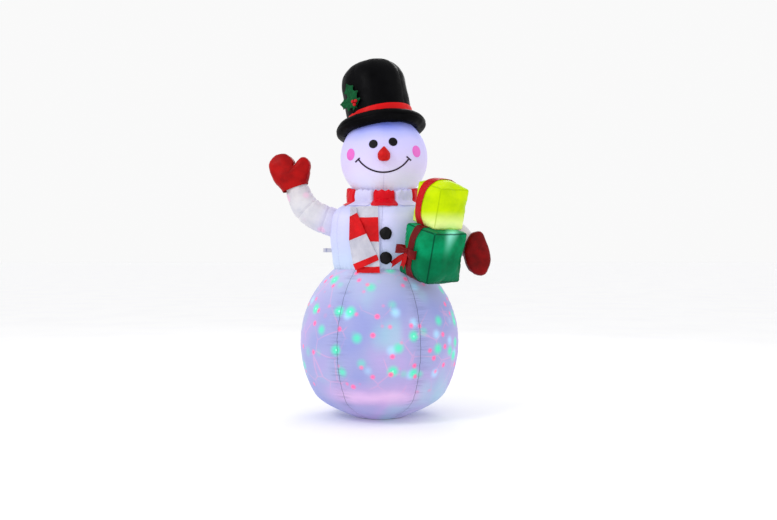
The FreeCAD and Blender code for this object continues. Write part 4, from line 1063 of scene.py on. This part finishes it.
def sheer_cloth(name, colour, dark, alpha, glow):
    finish = Finish(name, roughness=0.55, sheen=0.03, alpha=alpha)
    tone = finish.blend_along(finish.noise(22.0, 4.0), [(0.32, dark), (0.64, colour)])
    finish.bump(finish.noise(40.0, 4.0, finish.stretched(1, 1, 0.4)), 0.0022, 0.8)
    finish.weave(0.0015, 0.0001)
    return finish.done(tone, tone, glow)


REAR_STRIPES = (0.864, 0.819, 0.722, 0.624, 0.599)
FRONT_LEFT_EDGE = [(-0.112, 0.850), (-0.118, 0.823), (-0.120, 0.727), (-0.104, 0.633), (-0.093, 0.609)]
FRONT_RIGHT_EDGE = [(-0.092, 0.862), (-0.088, 0.838), (-0.051, 0.754), (-0.010, 0.672), (-0.001, 0.650)]


def stripe_sheet(name, corners_of, index, out, seed):
    """One stripe of a tail. corners_of(u, v) gives its x and z over the whole tail."""
    def rule(u, v):
        x, z, along = corners_of(u, v)
        hang = min(max(along, 0.0), 1.0) ** 1.2
        wave = 0.0030 * math.sin(u * 2 * math.pi * 1.3 + 1.1 + seed + 5.5 * along) * hang
        wave += 0.0020 * ripple(u * 4 + seed, along * 9, seed) + 0.0012 * ripple(u * 12, along * 24, seed + 3)
        curl = 0.0045 * (crease(u, 0.09) + crease(1 - u, 0.09)) * hang
        curl *= 0.6 + 0.7 * ripple(along * 7, seed, u * 2)
        return drape_point(x, z, out + max(wave, -0.0008) + max(curl, 0.0))

    return laid("%s_%d" % (name, index), 34, 34, rule, weld=False)


def rear_tail():
    top, bottom = REAR_STRIPES[0], REAR_STRIPES[-1]
    stripes = []
    for i in range(4):
        high, low = REAR_STRIPES[i], REAR_STRIPES[i + 1]

        def corners_of(u, v, high=high, low=low):
            z = low + (high - low) * v
            share = (top - z) / (top - bottom)
            left = -0.118 + 0.030 * share
            right = -0.005 + 0.008 * share
            return left + (right - left) * u, z + 0.0015 * ripple(u * 4, z * 20), share

        stripes.append(stripe_sheet("rear_stripe", corners_of, i, 0.0006, 1.7))
    return stripes


def front_tail():
    stripes = []
    for i in range(4):
        left_top, left_low = FRONT_LEFT_EDGE[i], FRONT_LEFT_EDGE[i + 1]
        right_top, right_low = FRONT_RIGHT_EDGE[i], FRONT_RIGHT_EDGE[i + 1]

        def corners_of(u, v, a=left_top, b=left_low, c=right_top, d=right_low):
            first = Vector(b).lerp(Vector(a), v)
            second = Vector(d).lerp(Vector(c), v)
            place = first.lerp(second, u)
            return place.x, place.y, (0.856 - place.y) / 0.23

        stripes.append(stripe_sheet("front_stripe", corners_of, i, 0.0082, 4.2))
    return stripes


def cloth_sheet(name, stripes, material, slot, replaced):
    piece = joined(name, stripes)
    flip_outward(piece)
    walled(piece, 0.0008, offset=0.0)
    smooth(piece, 60)
    finished(piece, material, slot, replaced)
    return piece


def flip_outward(piece):
    """Turns an open sheet's faces towards the front."""
    facing = sum(face.normal.y * face.area for face in piece.data.polygons)
    if facing > 0:
        edit(piece)
        bpy.ops.mesh.flip_normals()
        leave_edit()


def open_area(stripes):
    return sum(face.area for stripe in stripes for face in stripe.data.polygons)


def scarf_tails():
    white = sheer_cloth("scarf_white_sheer", (0.56, 0.55, 0.62), (0.44, 0.44, 0.52), 0.80, 0.16)
    red = sheer_cloth("scarf_red_thin", (0.60, 0.0, 0.003), (0.42, 0.0, 0.002), 0.97, 0.12)
    rear, front = rear_tail(), front_tail()
    for side, stripes, width in (("rear", rear, 0.105), ("front", front, 0.115)):
        whites, reds = [stripes[0], stripes[2]], [stripes[1], stripes[3]]
        for colour, group, material in (("white", whites, white), ("red", reds, red)):
            flat_area = round(open_area(group) * 0.96, 4)
            node = "scarf_%s_%s" % (side, colour)
            cloth_sheet("tail_%s_%s" % (side, colour), group, material, "scarf_" + colour, node)


# ---- Buttons, nose and face ----
def coal_buttons():
    """Two padded lumps of coal with uneven rims."""
    lumps = []
    low, high = corners("coal_buttons")
    for i, z in enumerate((0.755, 0.658)):
        def rule(u, v, i=i, z=z):
            angle = 2 * math.pi * u
            rim = 0.0250 * (1 + 0.018 * math.sin(5 * angle + i) + 0.07 * ripple(math.cos(angle) * 1.5 + i,
                                                                              math.sin(angle) * 1.5))
            reach = math.sin(math.radians(90) * min(v * 1.12, 1.0)) if v < 0.9 else 1.0
            radius = rim * reach if v < 0.9 else rim * (1 - 0.5 * (v - 0.9))
            rise = 0.0150 * math.cos(math.radians(90) * min(v / 0.94, 1.0)) ** 0.7
            facet = 0.0014 * ripple(radius * 90 * math.cos(angle) + 3 * i, radius * 90 * math.sin(angle), 1.0)
            base = high.y - 0.0012 if v >= 0.94 else low.y + 0.0150
            front = -rise - facet * (1 - v)
            return Vector((0.0265 + radius * math.cos(angle), base + front if v < 0.94 else base,
                           z + radius * math.sin(angle)))

        lumps.append(laid("coal_lump_%d" % i, 56, 26, rule))
    piece = joined("coal_buttons_padded", lumps)
    smooth(piece)
    finish = Finish("coal_cloth", roughness=0.45, specular=0.12)
    tone = finish.blend_along(finish.noise(60.0, 4.0), [(0.3, (0.002, 0.002, 0.002)),
                                                     (0.7, (0.007, 0.006, 0.008))])
    finish.bump(finish.noise(75.0, 4.0), 0.0014, 0.8)
    finish.weave()
    return finished(piece, finish.done(tone), "button_cloth", "coal_buttons")


def drop_nose():
    """Drop-shaped nose sewn from two halves."""
    centre = Vector((0.019, -0.196, 1.066))
    lean = Matrix.Rotation(math.radians(8), 3, "X")
    shape = [(-0.0240, 0.0), (-0.0232, 0.0110), (-0.0188, 0.0200), (-0.0105, 0.0246), (0.0, 0.0252),
             (0.0090, 0.0240), (0.0180, 0.0182), (0.0250, 0.0118), (0.0310, 0.0060), (0.0350, 0.0010),
             (0.0352, 0.0)]

    def rule(u, v):
        angle = 2 * math.pi * u
        at = v * (len(shape) - 1)
        height = curve_value([(float(i), s[0]) for i, s in enumerate(shape)], at)
        radius = max(curve_value([(float(i), s[1]) for i, s in enumerate(shape)], at), 0.0)
        radius *= 1 - 0.05 * (crease(angle_gap(angle, math.radians(-90)), 0.10))
        radius += 0.0006 * round_ripple(angle, 2, v * 6) * math.sin(math.pi * v)
        return off_head(centre + lean @ ring_point(radius, angle, height), 0.0006)

    piece = laid("nose_padded", 48, 40, rule)
    smooth(piece)
    finish = Finish("nose_cloth", roughness=0.46, sheen=0.02)
    axes = finish.axis()
    cloudy = finish.noise(60.0, 3.0)
    tone = finish.blend_along(cloudy, [(0.3, (0.40, 0.0, 0.001)), (0.65, (0.56, 0.001, 0.001))])
    # Painted light: the nose's lower, rounded end is brighter red.
    low_side = finish.band(axes[2], 1.044, 1.060, 0.20, 0.0)
    tone = finish.mix(low_side, tone, (0.66, 0.01, 0.005))
    seam = finish.band(finish.gap(axes[0], centre.x), 0.0002, 0.0011, 0.5, 0.0)
    tone = finish.mix(seam, tone, (0.26, 0.0, 0.001))
    finish.bump(finish.noise(90.0, 3.0), 0.0008, 0.6)
    finish.weave(0.0012, 0.00008)
    return finished(piece, finish.done(tone, tone, 0.04), "nose_cloth", "nose")


# ---- Gift boxes ----
def gift_matrix(yaw):
    return (Matrix.Rotation(math.radians(GIFT_ROLL), 3, "Y")
            @ Matrix.Rotation(math.radians(GIFT_PITCH), 3, "X")
            @ Matrix.Rotation(math.radians(yaw), 3, "Z"))


GREEN_CENTRE = Vector((0.211, -0.238, 0.679))
LID_NORMAL = gift_matrix(GREEN_YAW) @ Vector((0, 0, 1))
GIFT_BACK = gift_matrix(0) @ Vector((0, 1, 0))
YELLOW_CENTRE = (GREEN_CENTRE + LID_NORMAL * (GREEN_HEIGHT / 2 + YELLOW_HEIGHT / 2 + 0.0044)
                 + GIFT_BACK * 0.032)
YELLOW_SWELL = 0.006
GREEN_OFFSET = 0.015
YELLOW_OFFSET = 0.017


class Gift:
    """One stuffed gift box: its frame, its size and how it is wrapped."""

    def __init__(self, name, width, height, centre, yaw, offset, glow, crown):
        self.name, self.width, self.height, self.crown = name, width, height, crown
        self.turn = gift_matrix(yaw).to_4x4()
        self.place = Matrix.Translation(centre) @ self.turn
        self.offset = offset
        self.glow = glow
        self.ribbon = RIBBON_WIDTH * (1.30 if name == "yellow" else 1.08)

    def half(self):
        return Vector((self.width / 2, self.width / 2, self.height / 2))

    def swell(self, point):
        """Crowned faces: how far a point on the flat box moves out."""
        half = self.half()
        share = [min(abs(point[i]) / half[i], 1.0) for i in range(3)]
        moved = Vector((0, 0, 0))
        for i in range(3):
            others = [share[j] for j in range(3) if j != i]
            crown = (1 - others[0] ** 2.4) * (1 - others[1] ** 2.4)
            face = max(share[i] - 0.90, 0.0) / 0.10
            moved[i] = math.copysign(self.crown * crown * face, point[i])
        return moved


GIFTS = (Gift("green", GREEN_WIDTH, GREEN_HEIGHT, GREEN_CENTRE, GREEN_YAW, GREEN_OFFSET, 0.16, 0.009),
         Gift("yellow", YELLOW_WIDTH + YELLOW_SWELL, YELLOW_HEIGHT + YELLOW_SWELL,
              YELLOW_CENTRE + LID_NORMAL * YELLOW_SWELL / 2, YELLOW_YAW, YELLOW_OFFSET, 0.24, 0.014))


def gift_cloth(gift):
    finish = Finish("%s_gift_cloth" % gift.name, roughness=0.44, specular=0.05)
    uneven = finish.noise(12.0, 3.0)
    x, y, z = finish.axis()
    if gift.name == "yellow":
        tone = finish.blend_along(uneven, [(0.30, (0.34, 0.50, 0.0)), (0.50, (0.44, 0.60, 0.0)),
                                           (0.70, (0.52, 0.66, 0.0))])
        # Painted light: the bottom of the yellow box is paler and whiter.
        low = finish.band(z, 0.780, 0.840, 0.75, 0.0)
        tone = finish.mix(low, tone, (0.76, 0.86, 0.34))
        dark = (0.27, 0.40, 0.0)
    else:
        tone = finish.blend_along(uneven, [(0.30, (0.0, 0.11, 0.040)), (0.50, (0.0, 0.19, 0.070)),
                                           (0.70, (0.0, 0.28, 0.115))])
        shade = finish.band(z, 0.58, 0.72, 0.62, 0.0)
        tone = finish.mix(shade, tone, (0.0, 0.075, 0.030))
        # Painted highlight: a pale slanted streak on the right-hand side of the green box.
        highlight_streak = finish.band(finish.gap(x, finish.math("ADD", 0.284,
                            finish.times(finish.math("SUBTRACT", z, 0.76), 0.55))), 0.0, 0.040, 1.0, 0.0)
        highlight_streak = finish.times(highlight_streak, finish.band(z, 0.62, 0.80))
        right_side = finish.band(finish.math("ADD", x, finish.times(y, 0.4)), 0.10, 0.14)
        tone = finish.mix(finish.times(finish.times(highlight_streak, right_side), 0.85), tone,
                          (0.30, 0.86, 0.70))
        dark = (0.0, 0.022, 0.012)
    edge = finish.tree.nodes.new("ShaderNodeAttribute")
    edge.attribute_name = "edge_piping"
    piping = finish.band(edge.outputs["Fac"], 0.40, 0.80, 0.0, 0.85)
    tone = finish.mix(piping, tone, dark)
    finish.bump(finish.noise(24.0, 4.0), 0.003, 0.7)
    finish.weave()
    return finish.done(tone, tone, gift.glow)


def gift_box(gift):
    """Cloth box blown up a little, sewn along its edges with a raised welt."""
    bpy.ops.object.select_all(action="DESELECT")
    bpy.ops.mesh.primitive_cube_add(size=1)
    box = bpy.context.object
    box.name = "%s_gift_cloth" % gift.name
    for vertex in box.data.vertices:
        sized = Vector((vertex.co.x * gift.width, vertex.co.y * gift.width, vertex.co.z * gift.height))
        vertex.co = sized * 1.004
    bevel = box.modifiers.new("Round", "BEVEL")
    bevel.width = 0.007
    bevel.segments = 3
    apply_modifiers(box)
    edit(box)
    bpy.ops.mesh.quads_convert_to_tris()
    leave_edit()
    grain = box.modifiers.new("Even", "REMESH")
    grain.mode = "VOXEL"
    grain.voxel_size = 0.0052
    apply_modifiers(box)
    half = gift.half()
    flat = [vertex.co.copy() for vertex in box.data.vertices]
    inflate(box, 5.0, 0.013, tension=20.0, bending=0.5)
    welt_values = []
    for vertex, start in zip(box.data.vertices, flat):
        vertex.co = start + (vertex.co - start) * 0.62 + gift.swell(start)
        gaps = sorted(half[i] - abs(start[i]) for i in range(3))
        welt_values.append(crease(math.hypot(max(gaps[0], 0), max(gaps[1], 0)), 0.0058))
    layer = box.data.attributes.new("edge_piping", "FLOAT", "POINT")
    for value, item in zip(welt_values, layer.data):
        item.value = value
    subdivided(box)
    welts = [item.value for item in box.data.attributes["edge_piping"].data]
    normals = [vertex.normal.copy() for vertex in box.data.vertices]
    for vertex, normal, welt in zip(box.data.vertices, normals, welts):
        point = vertex.co
        gap = sorted(half[i] - abs(point[i]) for i in range(3))[1]
        crush = 0.0014 * ripple(point.x * 26 + 3, point.y * 26, point.z * 26)
        pucker = 0.0016 * ripple(point.x * 100, point.y * 100, point.z * 100) * crease(gap - 0.008, 0.016)
        vertex.co = point + normal * (crush + pucker + 0.0016 * welt)
        if gift.name == "green":
            vertex.co.z = min(vertex.co.z, half.z + 0.0012)
        else:
            vertex.co.z = max(vertex.co.z, -half.z - 0.0012)
    box.data.transform(gift.place)
    smooth(box)
    node = "%s_gift_box" % gift.name
    return finished(box, gift_cloth(gift), "%s_cloth" % gift.name, node)


def gift_ribbon(gift, box):
    """Ribbon round the box, laid on its cloth, with turned edges, rounded over the corners."""
    half_width, half_high = gift.width / 2, gift.height / 2
    corner = RIBBON_CORNER
    inner_w, inner_h = half_width - corner, half_high - corner
    arc = corner * math.pi / 2
    runs = [2 * inner_w, arc, 2 * inner_h, arc, 2 * inner_w, arc, 2 * inner_h, arc]
    total = sum(runs)

    def loop_place(reach):
        """Place and outward direction on the ribbon's run round the box, from the top over to the right."""
        reach = reach % total
        starts = ((-inner_w, half_high), (inner_w, inner_h), (half_width, inner_h), (inner_w, -inner_h),
                  (inner_w, -half_high), (-inner_w, -inner_h), (-half_width, -inner_h), (-inner_w, inner_h))
        ways = ((1, 0), (0, -1), (-1, 0), (0, 1))
        for i, run in enumerate(runs):
            if reach <= run or i == len(runs) - 1:
                break
            reach -= run
        x, z = starts[i]
        dx, dz = ways[i // 2]
        if i % 2 == 0:
            return (x + dx * reach, z + dz * reach), (-dz, dx)
        angle = math.radians(90 - 90 * (i // 2) - 90 * reach / arc)
        out = (math.cos(angle), math.sin(angle))
        return (x + corner * out[0], z + corner * out[1]), out

    tree_box = box.data.copy()
    tree_box.transform(gift.place.inverted())
    probe = bpy.data.objects.new("probe", tree_box)
    bpy.context.scene.collection.objects.link(probe)
    bpy.context.view_layer.update()

    def rule(u, v):
        (x, z), (out_x, out_z) = loop_place(v * total)
        y = gift.offset + (u - 0.5) * (gift.ribbon * (1 + 0.04 * ripple(v * 20, 1.0)))
        outward = Vector((out_x, 0, out_z))
        flat = Vector((x, y, z))
        hit, where = probe.ray_cast(flat + outward * 0.05, -outward, distance=0.12)[:2]
        lift = 0.0016 + 0.0008 * ripple(u * 3, v * 40) + 0.0010 * crease(min(u, 1 - u), 0.08)
        return (where if hit else flat) + outward * max(lift, 0.0010)

    piece = laid("%s_gift_ribbon" % gift.name, 15, 300, rule)
    bpy.data.objects.remove(probe)
    if gift.name == "green":
        limit = GREEN_HEIGHT / 2 + 0.0030
        for vertex in piece.data.vertices:
            vertex.co.z = min(vertex.co.z, limit)
    piece.data.transform(gift.place)
    walled(piece, 0.0010, offset=1.0)
    smooth(piece, 50)
    bright = gift.name == "yellow"
    if bright:
        cloth = plain_cloth("ribbon_bright", (0.50, 0.0, 0.001), (0.34, 0.0, 0.001), roughness=0.5,
                            wrinkle=0.0014, scale=44.0, glow=0.08)
    else:
        cloth = plain_cloth("ribbon_dark", (0.16, 0.0, 0.001), (0.085, 0.0, 0.001), roughness=0.42,
                            wrinkle=0.0014, scale=44.0, glow=0.04)
    return finished(piece, cloth, "bright_ribbon" if bright else "dark_ribbon", "%s_box_ribbon" % gift.name)


def bow_pieces(gift):
    """Knot, two loops and two tails on the green box's left face."""
    stand_off = GREEN_WIDTH / 2 + gift.crown + 0.0150
    frame_matrix = gift.place @ Matrix.Translation((-stand_off, 0.026, 0.002))
    loops = []
    for side, reach in ((1, 0.060), (-1, 0.042)):
        def rule(u, v, side=side, reach=reach):
            angle = 2 * math.pi * v
            along = side * (reach / 2 + 0.007 - math.cos(angle) * reach / 2)
            near_knot = crease(math.cos(angle) - 1, 0.55)
            width = 0.034 * (1 - 0.52 * near_knot)
            across = (u - 0.5) * width
            bulge = 0.0135 * math.sin(angle) * (1 - 0.25 * near_knot)
            bulge += (0.0016 * math.sin(u * 4 * math.pi + side) * near_knot
                      + 0.0010 * ripple(u * 5, v * 9, side))
            sag = -0.006 * (abs(along) / 0.06) ** 2
            return frame_matrix @ Vector((bulge, along, across + sag))

        loop = laid("bow_loop", 16, 72, rule)
        walled(loop, 0.0011, offset=0.0)
        loops.append(loop)
    piece = joined("bow_loops_ribbon", loops)
    smooth(piece, 50)
    dark = plain_cloth("bow_dark", (0.22, 0.0, 0.001), (0.10, 0.0, 0.001), roughness=0.42, wrinkle=0.0014,
                       scale=50.0, glow=0.05)
    finished(piece, dark, "dark_ribbon", "bow_loops")

    def knot_rule(u, v):
        angle = 2 * math.pi * u
        rise = math.pi * v
        fold = 1 + 0.10 * math.sin(4 * angle + 1.0) * math.sin(rise)
        point = Vector((0.0090 * math.sin(rise) * math.cos(angle) * fold,
                        0.0088 * math.sin(rise) * math.sin(angle) * fold, 0.0105 * -math.cos(rise)))
        return frame_matrix @ point

    knot = laid("bow_knot_ribbon", 40, 28, knot_rule)
    smooth(knot)
    finished(knot, dark, "dark_ribbon", "bow_knot")

    tails = []
    for spread, length, inward in ((-50.0, 0.112, 0.0030), (-16.0, 0.064, 0.0010)):
        turn = Matrix.Rotation(math.radians(-spread), 4, "X")
        pivot = Vector((0, 0, -0.008))

        def rule(u, v, length=length, inward=inward, turn=turn):
            notch = 0.010 * (1 - abs(u - 0.5) * 2) * (v if v > 0.8 else 0) ** 3
            down = -0.008 - (length + 0.004) * v + notch
            width = 0.024 * (0.45 + 0.55 * min(v * 2.2, 1.0))
            curl = 0.0016 * math.sin(v * 6.0 + u * 2) + 0.0012 * math.sin(u * 2 * math.pi)
            point = Vector((inward - 0.004 * (1 - v) ** 2 + curl * 0.6, (u - 0.5) * width, down))
            return frame_matrix @ (pivot + turn.to_3x3() @ (point - pivot))

        tail = laid("bow_tail", 14, 48, rule, weld=False)
        walled(tail, 0.0011, offset=0.0)
        tails.append(tail)
    piece = joined("bow_tails_ribbon", tails)
    smooth(piece, 50)
    # Painted light: the tails take a lighter, more glowing copy of the bow's dark red ribbon, while the loops
    # and knot keep the darker one.
    bright = plain_cloth("bow_lit_tails", (0.42, 0.0, 0.001), (0.24, 0.0, 0.001), roughness=0.42, wrinkle=0.0012,
                         scale=50.0, glow=0.10)
    finished(piece, bright, "dark_ribbon", "bow_tails")


# ---- Base panel, webbing and the parts carried over from the frame ----
def base_cloth():
    """Flat floor panel with a bound, stitched rim."""
    radius = ball_radius_at(0.002)

    def rule(u, v):
        angle = 2 * math.pi * u
        reach = radius * v
        rim = crease(v - 0.985, 0.02)
        dimple = 0.0004 * round_ripple(angle, v * 6, 3.0)
        return ring_point(reach, angle, 0.0016 + dimple + 0.0004 * rim)

    piece = laid("base_panel_cloth", 96, 36, rule)
    walled(piece, 0.0014, offset=-1.0)
    low = min(vertex.co.z for vertex in piece.data.vertices)
    for vertex in piece.data.vertices:
        vertex.co.z = max(vertex.co.z - low, 0.0) if low < 0 else vertex.co.z
    smooth(piece, 50)
    cloth = plain_cloth("base_tough_cloth", (0.46, 0.47, 0.56), (0.38, 0.39, 0.48),
                        roughness=0.7, wrinkle=0.0012)
    return finished(piece, cloth, "base_cloth", "base_panel")


HARD_PARTS = (
    ("zip_plastic", (0.30, 0.30, 0.34), (0.24, 0.24, 0.28), 0.4, {}, "zip_teeth"),
    ("zip_enamel", (0.30, 0.30, 0.33), (0.22, 0.22, 0.25), 0.32, {"metallic": 0.7}, "zip_slider", "zip_pull"),
    ("blower_plastic", (0.030, 0.030, 0.033), (0.018, 0.018, 0.020), 0.5, {"grain": 420.0},
     "blower_housing", "blower_clamp_ring", "motor_bracket"),
    ("grille_plastic", (0.036, 0.036, 0.040), (0.024, 0.024, 0.026), 0.42, {"grain": 420.0},
     "intake_grille", "outlet_grille"),
    ("fan_plastic", (0.62, 0.61, 0.58), (0.54, 0.53, 0.50), 0.4, {}, "impeller"),
    ("steel", (0.60, 0.60, 0.61), (0.48, 0.48, 0.50), 0.32, {"metallic": 1.0}, "fan_shaft", "blower_screws"),
    ("motor_shell", (0.52, 0.53, 0.55), (0.40, 0.41, 0.43), 0.36, {"metallic": 1.0},
     "fan_motor", "lamp_motor"),
    ("gland_rubber", (0.020, 0.020, 0.021), (0.012, 0.012, 0.012), 0.7, {}, "cord_gland", "lamp_feet"),
    ("lamp_plastic", (0.70, 0.70, 0.70), (0.62, 0.62, 0.63), 0.4, {},
     "lamp_base", "dome_spindle", "torso_light_pod", "head_light_pod"),
    ("lamp_board", (0.015, 0.14, 0.055), (0.008, 0.09, 0.035), 0.35, {"coat": 0.2}, "lamp_board"),
    ("led_lens", (0.78, 0.82, 0.92), (0.70, 0.74, 0.86), 0.12, {"coat": 0.5}, "lamp_leds", "pod_lenses"),
    ("dome_clear", (0.80, 0.84, 0.92), (0.72, 0.77, 0.87), 0.10, {"coat": 0.6, "alpha": 0.45}, "lens_dome"),
    ("lead_sheath", (0.70, 0.70, 0.70), (0.60, 0.60, 0.60), 0.5, {}, "lamp_lead", "riser_lead"))


def give(material, *nodes):
    for name in nodes:
        NODES[name].data.materials.clear()
        NODES[name].data.materials.append(material)


def dress_nodes():
    """Finishes for the CAD nodes that keep their own shape."""
    eye = Finish("eye_print", roughness=0.5, specular=0.1)
    tone = eye.blend_along(eye.noise(80.0, 3.0), [(0.3, (0.003, 0.003, 0.004)),
                                                  (0.7, (0.009, 0.008, 0.010))])
    eye.weave()
    eye_print = eye.done(tone)
    cheek_print = plain_cloth("cheek_print", (0.66, 0.14, 0.50), (0.58, 0.10, 0.42), roughness=0.55,
                              wrinkle=0.0004, glow=0.22)
    mouth_print = plain_cloth("mouth_print", (0.030, 0.012, 0.030), (0.010, 0.006, 0.012), roughness=0.5,
                              wrinkle=0.0003)
    webbing = plain_cloth("tether_webbing", (0.56, 0.56, 0.62), (0.44, 0.44, 0.52), roughness=0.75, sheen=0.2,
                          wrinkle=0.0006, scale=300.0)
    zip_tape = plain_cloth("zip_tape_cloth", (0.62, 0.62, 0.68), (0.50, 0.50, 0.58),
                           roughness=0.7, wrinkle=0.0003,
                           scale=400.0)
    give(eye_print, "eyes")
    give(cheek_print, "cheeks")
    give(mouth_print, "mouth")
    give(webbing, "tether_loop_left", "tether_loop_right")
    give(zip_tape, "zip_tape")
    for name, colour, dark, roughness, extra, *nodes in HARD_PARTS:
        give(hard_finish(name, colour, dark, roughness, **extra), *nodes)


def floor():
    bpy.ops.object.select_all(action="DESELECT")
    bpy.ops.mesh.primitive_plane_add(size=400, location=(0, 0, -0.0005))
    ground = bpy.context.object
    ground.name = "floor"
    apply_place(ground)
    finish = Finish("floor_pale", roughness=0.85, specular=0.1)
    tone = finish.blend_along(finish.noise(1.5, 2.0), [(0.3, (0.93, 0.93, 0.94)), (0.7, (0.96, 0.96, 0.97))])
    ground.data.materials.append(finish.done(tone, tone, 0.05))


# ---- Assembly ----
set_camera()
set_studio()
floor()
ball_skin()
torso_skin()
head_skin()
limb_skin("waving_sleeve", WAVING_ARM, "waving_arm", 0.62, 0.30, (0, 1, 0), 1.3)
limb_skin("gift_sleeve", GIFT_ARM, "gift_arm", 0.60, 0.22, (0, 0, 1), 6.1)
waving = mitten("waving_mitten_cloth", WAVING_MITTEN, (-0.378, -0.004, 1.010), 0.088, "waving_mitten",
                (0.40, 0.002, 0.002), (0.24, 0.0, 0.001), 0.03, (WRIST_POINT, WRIST_NORMAL))
holding = mitten("gift_mitten_cloth", GIFT_MITTEN, (0.388, -0.184, 0.676), 0.088, "gift_mitten",
                 (0.22, 0.0, 0.001), (0.09, 0.0, 0.0), 0.0)
hat_brim()
hat_crown()
hat_band()
holly_leaf("leaf_upper_felt", "holly_leaf_upper", 0.124, 0.077, -15.0, (0.008, 0, -0.027), 0.0070)
holly_leaf("leaf_lower_felt", "holly_leaf_lower", 0.103, 0.060, -72.0, (0.014, 0, -0.008), 0.0034)
holly_berries()
collar()
scarf_tails()
coal_buttons()
drop_nose()
for gift in GIFTS:
    wrapped_box = gift_box(gift)
    gift_ribbon(gift, wrapped_box)
bow_pieces(GIFTS[0])
base_cloth()
dress_nodes()
